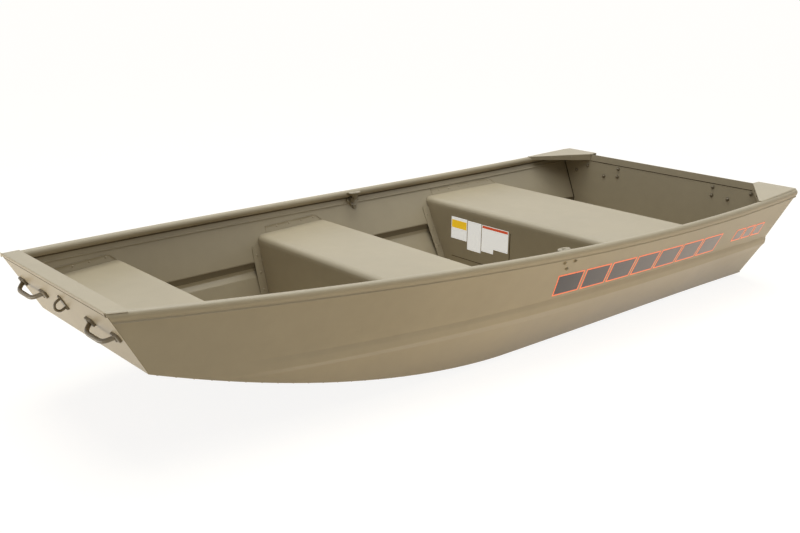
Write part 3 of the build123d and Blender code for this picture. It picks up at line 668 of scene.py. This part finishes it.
# Columns: name, aft and forward faces, top, starts of the uprights
FLANGED = [
    ("bow", BOW_SEAT_AFT, HULL_LENGTH - BOW_RAKE, BOW_SEAT_TOP, [BOW_SEAT_AFT - UPRIGHT]),
    ("middle", *MIDDLE_SEAT, SEAT_TOP, [MIDDLE_SEAT[0] - UPRIGHT, MIDDLE_SEAT[1] + SEAM_GAP]),
    ("stern", *STERN_SEAT, SEAT_TOP, [STERN_SEAT[0] - UPRIGHT, STERN_SEAT[1] + SEAM_GAP]),
]
for seat_name, aft, forward, top, starts in FLANGED:
    grids = [top_strip(aft, forward, top)] + [upright(start, top) for start in starts]
    flange = joined([sheet_parts(grid, FLANGE) for grid in grids])
    both_sides(f"riveted_flange_{seat_name}", "khaki_paint", flange, f"seat_flange_{seat_name}")

# %% [markdown]
# ## Turned, bent and cut fittings
# A turned part is a profile carried round an axis, a bar is a ring carried along a bent
# line, and a pad is an outline with a bevel. Each is drawn flat, then placed on its surface.

# %% Helpers for fittings
def turned(profile, sides_round=28, loop=False):
    """Rings of (radius, height) about the third axis, clockwise seen from above."""
    profile = np.asarray(profile, float)
    angle = -np.linspace(0, 2 * np.pi, sides_round, endpoint=False)
    radius, height = profile[:, :1], profile[:, 1:]
    rings = points_at(radius * np.cos(angle), radius * np.sin(angle), height)
    if loop:
        return ring_parts(np.concatenate([rings, rings[:1]]), caps=False)
    return ring_parts(rings)


def bar(path, radius, sides_round=18):
    """A round bar along a line in the plane of the first and third axes."""
    path = points_at(path[:, 0], 0, path[:, 1])
    along = np.gradient(path, axis=0)
    along /= np.linalg.norm(along, axis=1, keepdims=True)
    flat = np.array([0, 1.0, 0])
    side = np.cross(along, flat)
    angle = np.linspace(0, 2 * np.pi, sides_round, endpoint=False)[None, :, None]
    rings = path[:, None] + radius * (np.cos(angle) * side[:, None] + np.sin(angle) * flat)
    return ring_parts(rings)


def round_box(length, width, radius, steps=6):
    """Outline of a rectangle with round corners, anticlockwise."""
    turn = np.arange(4)[:, None] * np.pi / 2 + np.linspace(0, np.pi / 2, steps)
    x = (length / 2 - radius) * np.array([[1], [-1], [-1], [1]]) + radius * np.cos(turn)
    y = (width / 2 - radius) * np.array([[1], [1], [-1], [-1]]) + radius * np.sin(turn)
    return np.stack([x.ravel(), y.ravel()], -1)


def pad(outline, thickness, bevel=1.0):
    """A plate from an outline, its top edge bevelled."""
    inner = outline * (1 - bevel / np.abs(outline).max())
    levels = [(outline, 0), (outline, thickness - bevel), (inner, thickness)]
    return ring_parts(np.array([points_at(*line.T, z)[::-1] for line, z in levels]))


def placed(part, places, facing, along=(1, 0, 0.02)):
    """Copies of a drawn part at one place or many, each with its third axis along facing."""
    points, faces = part
    along = np.asarray(along, float)
    places, facing = np.broadcast_arrays(*(np.atleast_2d(v).astype(float) for v in (places, facing)))
    facing = facing / np.linalg.norm(facing, axis=1, keepdims=True)
    first = along - facing * (facing @ along)[:, None]
    first /= np.linalg.norm(first, axis=1, keepdims=True)
    turn = np.stack([first, np.cross(facing, first), facing], 1)
    copies = np.einsum("pk,nkc->npc", points, turn) + places[:, None]
    starts = range(0, len(places) * len(points), len(points))
    return copies.reshape(-1, 3), [[i + start for i in face] for start in starts for face in faces]


def shifted(part, *by):
    return part[0] + np.array(by), part[1]


ACORN_LINE = np.array([(7.5, 0), (7.5, 1.2), (5.2, 1.3), (5.2, 4.2), (4.2, 5.6), (2.4, 6.4), (0.8, 6.6)])
ACORN, BIG_ACORN = turned(ACORN_LINE, 12), turned(ACORN_LINE * 1.2, 12)
SCREW = turned([(4.6, 0), (4.6, 0.9), (3.6, 2.1), (1.8, 2.7), (0.6, 2.8)], 12)
RIVET = turned([(4.4, 0), (4.2, 0.7), (3.1, 1.6), (1.4, 2.0)], 10)

# %% Lifting handles
PAD_X, PAD_HEIGHT, HANDLE_BAR = 76, 8, 6.8
BOW_HANDLE_DOWN, BOW_HANDLE_Y = 100, 229
STERN_HANDLE_DOWN, STERN_HANDLE_Y = 36, 335
HANDLE_LINE = rounded([(-73, 5), (-49, 35), (49, 35), (73, 5)], 24, 10)
handle_pad = pad(round_box(42, 24, 5), PAD_HEIGHT, 1.8)
pads = [shifted(handle_pad, x, 0, 0) for x in (-PAD_X, PAD_X)]
screws = [shifted(SCREW, x, y, PAD_HEIGHT - 0.2) for x in (-PAD_X, PAD_X) for y in (-8.4, 8.4)]
HANDLE = joined([bar(HANDLE_LINE, HANDLE_BAR)] + pads + screws)
BOW_UP = np.array([0.508, 0, 0.861])
BOW_OUT = np.array([0.861, 0, -0.508])
bow_edge = np.array([HULL_LENGTH, 0, BOW_TOP])


def on_bow(part, down, y):
    """A part on the bow plate: so far down from its top edge, and y to port."""
    place = bow_edge - down * BOW_UP + (0, y, 0) + TRIM_GAP * BOW_OUT
    return placed(part, place, BOW_OUT, (0, 1, 0))


both_sides("bow_grab", "hardware_paint", on_bow(HANDLE, BOW_HANDLE_DOWN, BOW_HANDLE_Y), "bow_handle")
TRANSOM_OUT = np.array([-1, 0, -TRANSOM_RAKE / (SHEER_HEIGHT[0] + TUBE_SPACE)])
handle_z = CAP_FOOT - STERN_HANDLE_DOWN
handle_place = (transom_face(handle_z, -TRIM_GAP), STERN_HANDLE_Y, handle_z)
stern_grab = placed(HANDLE, handle_place, TRANSOM_OUT, (0, -1, 0))
both_sides("stern_grab", "hardware_paint", stern_grab, "stern_handle")

# %% Bow eye
EYE_DOWN, EYE_HALF, EYE_LEG, EYE_BAR, EYE_PAD = 84, 16, 14, 4, 4
half_turn = np.linspace(0, np.pi, 17)
eye_line = np.stack([-EYE_HALF * np.cos(half_turn), EYE_LEG + EYE_HALF * np.sin(half_turn)], -1)
eye_line = np.concatenate([[(-EYE_HALF, 2)], eye_line, [(EYE_HALF, 2)]])
eye_bar = placed(bar(eye_line, EYE_BAR), (0, 0, 0), (0, 0, 1), (0, 1, 0))
eye_screws = [shifted(SCREW, 0, y, EYE_PAD) for y in (-22, 22)]
eye = joined([pad(round_box(20, 52, 5), EYE_PAD), eye_bar] + eye_screws)
add(to_mesh("bow_ring", *on_bow(eye, EYE_DOWN, 0)), "hardware_paint", "bow_eye")

# %% Oarlock sockets
SOCKET_X, SOCKET_Y = 1430, 544.934
SOCKET_Z = float(sheer(SOCKET_X))
SOCKET_FOOT = SOCKET_Z - 34
PLATE_Z = SOCKET_Z - 29
PLATE_BACK = 9
PLATE_THICK = 5
BOLT_HOLES = np.array([(-24, 0), (24, 0), (0, -27)])
boss = turned([
    (8.2, 13), (9, 14), (9.6, 22), (11.4, 30), (14.6, 37), (15, 42.4),
    (13.8, 44), (8, 44), (6.5, 42.8), (6.5, 13.6), (7.1, 13),
], 32, loop=True)
bell = np.clip((boss[0][:, 2] - 16) / 24, 0, 1) ** 2
outer_skin = np.hypot(*boss[0][:, :2].T) > 7.5
boss[0][:, 0] *= 1 + np.where(outer_skin, 0.95 * bell, 0)

# The plate's outline is the furthest point of any lobe along each ray from its middle
plate_middle = np.array([0, -8])
# Columns: x, y and radius of each lobe
lobes = np.array([(-24, 0, 10.5), (24, 0, 10.5), (0, -27, 10), (-13, -14, 9), (13, -14, 9), (0, 2, 12)])
radii = lobes[:, 2]
angle = np.linspace(0, 2 * np.pi, 90, endpoint=False)
ray = np.stack([np.cos(angle), np.sin(angle)], -1)
offset = lobes[:, :2] - plate_middle
along_ray = ray @ offset.T
off_ray = np.abs(np.cross(ray[:, None], offset[None]))
reach = along_ray + np.sqrt(np.maximum(along_ray ** 2 - (offset ** 2).sum(1) + radii ** 2, 0))
scallops = ray * np.where(off_ray < radii, reach, 0).max(1, keepdims=True) + plate_middle

# The plate lies on the rail's inner flange: its place, and a point ahead and one above
x, z = SOCKET_X - PLATE_BACK + np.array([0, 1, 0]), PLATE_Z + np.array([0, 0, 1])
plate_place, ahead, above = points_at(x, on_flare(x, z, SHEET + 2 * SEAM_GAP + TRIM), z)
into_boat = np.cross(ahead - plate_place, above - plate_place)
plate_bolts = [shifted(SCREW, x, y, PLATE_THICK) for x, y in BOLT_HOLES]
plate = joined([pad(scallops, PLATE_THICK, 1.4)] + plate_bolts)
plate = placed(plate, plate_place, into_boat, ahead - plate_place)
WEB_Y, WEB_HEIGHT = SOCKET_Y + 8, 18.7
web_depth = plate_place[1] - 2 - WEB_Y
web = pad(round_box(20, web_depth, 3), WEB_HEIGHT, 1)
web = shifted(web, SOCKET_X, WEB_Y + web_depth / 2, SOCKET_FOOT)
WING_HALF, WING_EDGE, WING_BULGE = 34, 1.5, 14
wing_x = np.linspace(-WING_HALF, WING_HALF, 35)
bulge = WING_BULGE * np.exp(-(wing_x / 17) ** 2)
wing_y = WING_EDGE + np.where(np.abs(wing_x) < WING_HALF - 0.1, bulge, 0)
wing = np.concatenate([np.stack([wing_x, -wing_y], -1), [(WING_HALF, 1), (-WING_HALF, 1)]])
wing = shifted(pad(wing, 7, 0.8), SOCKET_X, SOCKET_Y + 14.5, SOCKET_Z + 1)
socket = joined([shifted(boss, SOCKET_X, SOCKET_Y, SOCKET_FOOT), plate, web, wing])
both_sides("rowlock_socket", "hardware_paint", socket, "oarlock_socket")

# %% Drain
DRAIN_AFT, DRAIN_FORWARD, DRAIN_Z = 39.172, 80.558, 46
drain_run = DRAIN_FORWARD - DRAIN_AFT
drain = turned([
    (13, 0), (22, 0), (22, 1.3), (21.4, 2), (14.2, 2), (14.2, drain_run - 1), (13.8, drain_run),
    (13, drain_run), (12.7, drain_run - 0.6), (12.7, 0.5),
], 36, loop=True)
drain = placed(drain, (DRAIN_AFT, 0, DRAIN_Z), (1, 0, 0), (0, 1, 0))
add(to_mesh("drain_sleeve", *drain), "bare_aluminium", "drain_tube")

# %% [markdown]
# ## Rivets and bolts
# Hundreds of heads share a few small turned shapes. All the heads of one kind are one mesh:
# the shape is copied to all places at once, each copy turned to its surface.

# %% Rows of rivets and bolts
def up_at(x):
    """The bottom's upward normal at x, from its slope."""
    return points_at((bottom(x - 1) - bottom(x + 1)) / 2, 0, 1)


def inward(x):
    """The port side's normal into the boat, square to the flare."""
    return points_at(0, -1, flare_line(x)[-1])


def on_flange(x, z):
    """Heads on the port flanges."""
    return placed(RIVET, points_at(x, on_flare(x, z, FLANGE_FACE), z), inward(x))


def under_bottom(x, y, drop):
    """Heads that look down, at so far under the bottom's lower face."""
    return placed(RIVET, points_at(x, y, bottom(x) - drop), -up_at(x))


def over_bottom(x, y, rise):
    """Heads that look up, at so far over the bottom's upper face."""
    return placed(RIVET, points_at(x, y, bottom(x) + SHEET + rise), up_at(x))


FLANGE_PITCH, UPRIGHT_PITCH, KEEL_PITCH, CHINE_PITCH, RIB_PITCH = 64.0, 62.0, 76.0, 52.0, 92.5
flange_rivets = []
for _, aft, forward, top, starts in FLANGED:
    flange_rivets.append(on_flange(np.arange(aft + 48, forward - 58, FLANGE_PITCH), top + 16))
    for start in starts:
        z = np.arange(top - 70, 60 + float(bottom(start)), -UPRIGHT_PITCH)
        flange_rivets.append(on_flange(np.full(len(z), start + UPRIGHT / 2), z))
both_sides("flange_rivets", "khaki_paint", joined(flange_rivets))

LIP_RIVETS, LIP_FROM = np.array([120.0, 205.0]), 42
lip_share = (LIP_RIVETS - LIP_FROM) / (GUSSET_LENGTH - LIP_FROM)
lip_places = points_at(LIP_RIVETS, STERN_INNER + (FORWARD_INNER - STERN_INNER) * lip_share, CAP_TOP - 12)
both_sides("gusset_rivets", "khaki_paint", placed(RIVET, lip_places, (0, -1, 0)))

x = np.arange(KEEL_AFT + 30, KEEL_FORWARD - 10, KEEL_PITCH)
clear = x > 100
for _, aft, forward, _, _ in FLANGED:
    clear &= (x < aft - 8) | (x > forward + 8)
for middle in RIBS.values():
    clear &= np.abs(x - middle) > RIB_HALF + 10
bottom_rivets = []
for y in sorted(KEELS.values()):
    bottom_rivets += [under_bottom(x, y, KEEL_GROOVE), over_bottom(x[clear], y, 0)]
x = np.arange(30, HULL_LENGTH - BOW_RAKE - 20, CHINE_PITCH)
for side in (-1, 1):
    bottom_rivets.append(under_bottom(x, side * (half_bottom(x) - 7.5), 0))
y = np.arange(-370, 371, RIB_PITCH)
for middle in RIBS.values():
    for from_middle in (-23, 23):
        bottom_rivets.append(over_bottom(np.full(len(y), middle + from_middle), y, SEAM_GAP + RIB_FOOT))
add(to_mesh("bottom_rivets", *joined(bottom_rivets)), "khaki_paint")

# Columns: y and z of each bolt end on the transom's inner face
TRANSOM_BOLTS = np.array([
    (-260, 364), (-260, 328), (240, 364), (240, 328), (-336, 319), (318, 323),
    (420, 364), (-500, 323), (-438, 354),
])
bolt_y, bolt_z = TRANSOM_BOLTS.T
bolt_places = points_at(transom_face(bolt_z, TRANSOM), bolt_y, bolt_z)
transom_bolts = placed(BIG_ACORN, bolt_places, -TRANSOM_OUT, (0, 1, 0))
add(to_mesh("transom_bolts", *transom_bolts), "hardware_paint")

x, z = (BOLT_HOLES[[0, 2, 1]] + (SOCKET_X, PLATE_Z)).T
both_sides("rowlock_bolts", "khaki_paint", placed(ACORN, points_at(x, side_y(x, z), z), -inward(x)))
print("pieces so far:", len(pieces))

# %% [markdown]
# ## Stickers and stripe
# Blank cards, two with a coloured head, are stuck to the front of the stern seat, and a
# band of slanted blocks to each side. Each is a thin patch on the surface under it.

# %% Cards on the stern seat
CARD_X = STERN_SEAT[1] + 0.2
# Columns: name, y to starboard and to port, lowest and highest z, thickness
CARDS = [
    ("white_card_a", -401, -308, 164, 259, 0.3),
    ("yellow_head", -398, -311, 212, 246, 0.45),
    ("white_card_b", -304, -226, 131, 257, 0.3),
    ("white_card_c", -222, -155, 142, 256, 0.3),
    ("white_card_d", -155, -75, 162, 256, 0.3),
    ("orange_head", -219, -78, 243, 253.5, 0.45),
]


def card(y0, y1, z0, z1, thickness):
    """A flat patch whose faces look forward."""
    y, z = np.linspace(y0, y1, 5)[:, None], np.linspace(z0, z1, 5)
    return sheet_parts(points_at(CARD_X + thickness, y, z), thickness)


for card_name, *place in CARDS:
    add(to_mesh(card_name, *card(*place)), None)

# Two seams on the seat's front face, drawn as thin strips of painted shade.
seam_shades = [card(-67.5, -64, 30, 249, 0.7), card(-394, -198, 84, 86.5, 0.7)]
add(to_mesh("stern_face_seam_shade", *joined(seam_shades)), None)

# %% Painted shade in the transom's inner corners
corner_z = np.linspace(KEEL_HEIGHT + 8, CAP_FOOT - 3.6, 24)
corner_x = transom_face(corner_z, TRANSOM + SHADE_LIFT)
corner_y = side_y(corner_x, corner_z, 2.4) + np.array([-6.5, -0.3])[:, None]
both_sides("corner_shade", None, sheet_parts(points_at(corner_x, corner_y, corner_z), SHADE_SHEET))

# %% Band on the sides
BAND_LEAN = 20 / 100
BLOCK_SPACE = 10
RIM_WIDTH = 5.5
RIM_THICK, FILL_THICK = 0.35, 0.6
# Columns: aft and forward ends of a run of blocks, number, lowest and highest over the step's crown
BAND_RUNS = [(470, 1444, 7, 12, 98), (125, 365, 3, 34, 92)]


def block(x0, x1, low, high, inset, thickness):
    """A leaning patch on the port side: its top is moved forward, and it is inset all round."""
    u, v = np.linspace(0, 1, 13)[:, None], np.linspace(0, 1, 7)
    under = x0 + (x1 - x0) * u
    height = low + inset + (high - low - 2 * inset) * v
    x = x0 + inset + (x1 - x0 - 2 * inset) * u + BAND_LEAN * height
    z = sheer(under) - thirds(STEP_TOP_DROP, under) + height
    grid = points_at(x, on_flare(x, z) + thickness, z)
    return sheet_parts(grid[:, ::-1], thickness - 0.05)


rims, fills = [], []
for aft, forward, count, low, high in BAND_RUNS:
    stops = np.linspace(aft, forward, count + 1)
    for start, end in zip(stops, stops[1:] - BLOCK_SPACE):
        rims.append(block(start, end, low, high, 0, RIM_THICK))
        fills.append(block(start, end, low, high, RIM_WIDTH, FILL_THICK))
both_sides("band_rim", None, joined(rims))
both_sides("band_fill", None, joined(fills))

# %% [markdown]
# ## Finishes
# Nearly everything wears one satin khaki paint. Three node groups vary it and all other
# finishes: one the tone, one the gloss, and one the height of the surface, with the peel of
# sprayed paint and, on the khaki, long soft waves that bend its reflections.

# %% Shared effects
def group_of(name, inputs, outputs):
    """An empty node group with named number or colour sockets."""
    tree = bpy.data.node_groups.new(name, "ShaderNodeTree")
    for label, kind, value in inputs:
        socket = tree.interface.new_socket(label, in_out="INPUT", socket_type=kind)
        socket.default_value = value
    for label, kind in outputs:
        tree.interface.new_socket(label, in_out="OUTPUT", socket_type=kind)
    return tree, tree.nodes.new("NodeGroupInput"), tree.nodes.new("NodeGroupOutput")


def node(tree, kind, settings=(), **values):
    """One node: settings are its properties, and values are its inputs' values or links."""
    made = tree.nodes.new(kind)
    for key, value in dict(settings).items():
        setattr(made, key, value)
    for key, value in values.items():
        by_number = key[0] == "i" and key[1:].isdigit()
        socket = made.inputs[int(key[1:]) if by_number else key]
        if isinstance(value, bpy.types.NodeSocket):
            tree.links.new(value, socket)
        else:
            socket.default_value = value
    return made


def noise(tree, where, scale, detail=3.0):
    made = node(tree, "ShaderNodeTexNoise", Vector=where, Scale=scale, Detail=detail, Roughness=0.55)
    return made.outputs[0]


def maths(tree, kind, a, b=0.0, c=0.0):
    return node(tree, "ShaderNodeMath", {"operation": kind}, i0=a, i1=b, i2=c).outputs[0]


def object_place(tree):
    return tree.nodes.new("ShaderNodeTexCoord").outputs["Object"]


FLOAT, COLOUR = "NodeSocketFloat", "NodeSocketColor"


def tone_group():
    """Two sizes of noise move a colour a little lighter and darker."""
    inputs = [("Colour", COLOUR, (1, 1, 1, 1)), ("Amount", FLOAT, 0.1)]
    tree, given, out = group_of("paint_tone", inputs, [("Colour", COLOUR)])
    where = object_place(tree)
    broad, close = noise(tree, where, 2.3), noise(tree, where, 21.0)
    both = maths(tree, "MULTIPLY_ADD", close, 0.4, broad)
    centred = maths(tree, "SUBTRACT", both, 0.7)
    value = maths(tree, "MULTIPLY_ADD", centred, given.outputs["Amount"], 1.0)
    moved = node(tree, "ShaderNodeHueSaturation", Color=given.outputs["Colour"], Value=value)
    tree.links.new(moved.outputs[0], out.inputs["Colour"])
    return tree


def gloss_group():
    """Roughness about a middle value, rougher where dust lies and where it is rubbed."""
    inputs = [("Middle", FLOAT, 0.4), ("Spread", FLOAT, 0.1), ("Scuffs", FLOAT, 0.1)]
    tree, given, out = group_of("paint_gloss", inputs, [("Roughness", FLOAT)])
    where = object_place(tree)
    cloud = maths(tree, "SUBTRACT", noise(tree, where, 5.0, 4.0), 0.5)
    stretched = node(tree, "ShaderNodeMapping", Vector=where, Scale=(4.0, 90.0, 60.0)).outputs[0]
    streaks = noise(tree, stretched, 3.0, 5.0)
    scratch = node(tree, "ShaderNodeMapRange", Value=streaks, i1=0.62, i2=0.74).outputs[0]
    value = maths(tree, "MULTIPLY_ADD", cloud, given.outputs["Spread"], given.outputs["Middle"])
    value = maths(tree, "MULTIPLY_ADD", scratch, given.outputs["Scuffs"], value)
    tree.links.new(value, out.inputs["Roughness"])
    return tree


def skin_group():
    """Height: long waves of the sheet, and the fine peel of sprayed paint, in metres."""
    inputs = [("Waves", FLOAT, 0.0006), ("Peel", FLOAT, 0.00001)]
    tree, given, out = group_of("paint_skin", inputs, [("Height", FLOAT)])
    where = object_place(tree)
    waves = maths(tree, "MULTIPLY", noise(tree, where, 3.2, 1.0), given.outputs["Waves"])
    height = maths(tree, "MULTIPLY_ADD", noise(tree, where, 420.0, 2.0), given.outputs["Peel"], waves)
    tree.links.new(height, out.inputs["Height"])
    return tree


TONE, GLOSS, SKIN = tone_group(), gloss_group(), skin_group()


# %% Paint, vinyl and bare metal
def finish(name, colour, middle, tone=0.25, waves=0.0, **plain):
    """A Principled material: the three groups feed its colour, roughness and normal."""
    material = bpy.data.materials.new(name)
    material.use_nodes = True
    tree = material.node_tree
    shader = tree.nodes["Principled BSDF"]
    toned = node(tree, "ShaderNodeGroup", {"node_tree": TONE}, Amount=tone)
    if isinstance(colour, tuple):
        toned.inputs["Colour"].default_value = (*colour, 1)
    else:
        tree.links.new(colour(tree), toned.inputs["Colour"])
    glossy = node(tree, "ShaderNodeGroup", {"node_tree": GLOSS}, Middle=middle, Spread=0.1, Scuffs=0.08)
    skin = node(tree, "ShaderNodeGroup", {"node_tree": SKIN}, Waves=waves, Peel=0.00002)
    bump = node(tree, "ShaderNodeBump", Height=skin.outputs["Height"], Strength=1.0, Distance=1.0)
    tree.links.new(toned.outputs["Colour"], shader.inputs["Base Color"])
    tree.links.new(glossy.outputs["Roughness"], shader.inputs["Roughness"])
    tree.links.new(bump.outputs["Normal"], shader.inputs["Normal"])
    for socket, value in plain.items():
        shader.inputs[socket.replace("_", " ")].default_value = value
    return material


def band_grey(tree):
    """Dark grey that lightens aft, by the x of Object coordinates."""
    x = node(tree, "ShaderNodeSeparateXYZ", Vector=object_place(tree)).outputs[0]
    ramp = node(tree, "ShaderNodeMapRange", Value=x, i1=0.0, i2=-1.35).outputs[0]
    mix = node(tree, "ShaderNodeMix", {"data_type": "RGBA"}, i0=ramp)
    mix.inputs[6].default_value = (0.055, 0.047, 0.046, 1)
    mix.inputs[7].default_value = (0.34, 0.3, 0.29, 1)
    return mix.outputs[2]


def vinyl_with_painted_glow(name, colour, glow):
    """Vinyl with a painted glow: its emission gives back more light than its lighting can."""
    return finish(name, colour, 0.4, tone=0.05, Emission_Color=(*colour, 1), Emission_Strength=glow)


def shade(name, colour, roughness=0.7):
    """Dark, dull paint laid as painted shade where shadow falls."""
    return finish(name, colour, roughness, Specular_IOR_Level=0.2)


KHAKI = finish("khaki_satin", (0.36, 0.3, 0.2), 0.42, waves=0.0006, Specular_IOR_Level=0.5)
# Columns: starts of the names of pieces, finish; all other pieces are khaki
FINISHES = [
    (("bow_grab", "stern_grab", "bow_ring", "transom_bolts"),
     finish("fitting_olive", (0.178, 0.142, 0.088), 0.38)),
    ("rowlock_socket", finish("socket_olive", (0.27, 0.22, 0.14), 0.42)),
    ("drain_sleeve", finish("drawn_aluminium", (0.72, 0.71, 0.69), 0.3, tone=0.15, Metallic=1.0)),
    # The next three finishes are painted shade: dark strips where shadow falls under lips, in seams and
    # corners, under the tube and under the step.
    (("bow_seam_shade", "transom_seam_shade", "stern_face_seam_shade", "corner_shade"),
     shade("seam_shade", (0.08, 0.06, 0.034), 0.75)),
    ("rail_crease_shade", shade("crease_shade", (0.15, 0.12, 0.074))),
    ("step_shade", shade("underside_shade", (0.185, 0.15, 0.095))),
    # The vinyls below have a painted glow: an emission that makes them brighter than their lighting gives.
    ("white_card", vinyl_with_painted_glow("white_vinyl", (0.93, 0.93, 0.92), 0.34)),
    ("yellow_head", vinyl_with_painted_glow("yellow_vinyl", (0.93, 0.58, 0.02), 0.34)),
    ("orange_head", vinyl_with_painted_glow("orange_vinyl", (0.9, 0.12, 0.04), 0.15)),
    ("band_rim", vinyl_with_painted_glow("coral_vinyl", (0.9, 0.2, 0.08), 0.3)),
    ("band_fill", finish("grey_vinyl", band_grey, 0.4)),
]
for piece in pieces + list(nodes.values()):
    found = [material for starts, material in FINISHES if piece.name.startswith(starts)]
    piece.data.materials.clear()
    piece.data.materials.append(found[0] if found else KHAKI)
for piece in pieces:
    even = piece.modifiers.new("even_shading", "WEIGHTED_NORMAL")
    even.keep_sharp = True
print("finishes:", len(bpy.data.materials))

# %% [markdown]
# ## Studio
# A pale floor, a lit ceiling with a soft sun, a low panel ahead of the bow and one to port.
# Much of the light on the flared sides comes up from the floor. The camera and gloss see a
# white world, and the boat itself gets less light from it.

# %% Floor, world and lamps
def seen_directly(tree):
    """1 for rays from the camera, from gloss and through glass."""
    path = tree.nodes.new("ShaderNodeLightPath")
    any_two = maths(tree, "MAXIMUM", path.outputs["Is Camera Ray"], path.outputs["Is Glossy Ray"])
    return maths(tree, "MAXIMUM", any_two, path.outputs["Is Transmission Ray"])


world = bpy.data.worlds.new("studio")
bpy.context.scene.world = world
world.use_nodes = True
tree = world.node_tree
tree.nodes.clear()
soft = node(tree, "ShaderNodeBackground", Color=(1, 0.985, 0.96, 1), Strength=0.16)
plain = node(tree, "ShaderNodeBackground", Color=(1, 1, 1, 1), Strength=1.0)
chosen = node(tree, "ShaderNodeMixShader", i0=seen_directly(tree), i1=soft.outputs[0], i2=plain.outputs[0])
tree.links.new(chosen.outputs[0], tree.nodes.new("ShaderNodeOutputWorld").inputs[0])

mesh = bpy.data.meshes.new("floor")
mesh.from_pydata([(-60, -60, 0), (60, -60, 0), (60, 60, 0), (-60, 60, 0)], [], [(0, 1, 2, 3)])
floor = bpy.data.objects.new("floor", mesh)
bpy.context.scene.collection.objects.link(floor)
pale = bpy.data.materials.new("pale_floor")
pale.use_nodes = True
tree = pale.node_tree
tree.nodes.clear()
matt = node(tree, "ShaderNodeBsdfDiffuse", Color=(0.8, 0.71, 0.56, 1))
glow = node(tree, "ShaderNodeEmission", Color=(1, 1, 1, 1), Strength=1.16)
share = maths(tree, "MULTIPLY", seen_directly(tree), 0.76)
mixed = node(tree, "ShaderNodeMixShader", i0=share, i1=matt.outputs[0], i2=glow.outputs[0])
tree.links.new(mixed.outputs[0], tree.nodes.new("ShaderNodeOutputMaterial").inputs[0])
mesh.materials.append(pale)


def lamp(name, kind, energy, size, place, turn, colour):
    """A lamp turned by degrees round x and then round z: a sun with an angle, or a panel."""
    light = bpy.data.lights.new(name, kind)
    light.energy = energy
    light.color = colour
    if kind == "SUN":
        light.angle = size
    else:
        light.shape = "RECTANGLE"
        light.size, light.size_y = size
    holder = bpy.data.objects.new(name, light)
    holder.location = place
    holder.rotation_euler = (radians(turn[0]), 0, radians(turn[1]))
    holder.visible_camera = False
    bpy.context.scene.collection.objects.link(holder)


lamp("overhead", "SUN", 1.6, radians(40), (0, 0, 5), (10, -34), (0.95, 0.99, 1.0))
lamp("ceiling", "AREA", 100, (5, 5), (-0.3, -0.2, 3.2), (0, 0), (0.93, 0.98, 1.0))
lamp("bow_panel", "AREA", 6.5, (1, 0.25), (2.4, -0.4, 0.13), (100, 60), (1, 0.97, 0.92))
lamp("port_wash", "AREA", 8, (3.2, 0.6), (-0.5, 1.05, 0.26), (0, 0), (1, 0.92, 0.8))

# %% [markdown]
# ## Camera
# The camera stands off the port bow, a little over the boat, and looks aft across it. Its
# place, turn and lens follow the photograph, whose frame is 800 by 533.

# %% Camera
FRAME = (800, 533)
CAMERA_AT = (2.551831, 2.5952, 1.3208)
YAW, PITCH, ROLL = 0.688, 0.2663, 0.0034
FOCAL, CENTRE = 1014.07, (351.54, 236.33)
forward = -np.array([np.sin(YAW) * np.cos(PITCH), np.cos(YAW) * np.cos(PITCH), np.sin(PITCH)])
right = np.cross(forward, (0, 0, 1))
right /= np.linalg.norm(right)
above = np.cross(right, forward)
right, above = np.cos(ROLL) * right + np.sin(ROLL) * above, np.cos(ROLL) * above - np.sin(ROLL) * right
lens = bpy.data.cameras.new("camera")
lens.sensor_width = 36
lens.lens = 36 * FOCAL / FRAME[0]
lens.shift_x = 0.5 - CENTRE[0] / FRAME[0]
lens.shift_y = (CENTRE[1] - FRAME[1] / 2) / FRAME[0]
lens.clip_end = 200
camera = bpy.data.objects.new("camera", lens)
axes = Matrix(np.column_stack([right, above, -forward]).tolist()).to_4x4()
camera.matrix_world = Matrix.Translation(CAMERA_AT) @ axes
bpy.context.scene.collection.objects.link(camera)
bpy.context.scene.camera = camera
bpy.context.scene.view_settings.view_transform = "Standard"
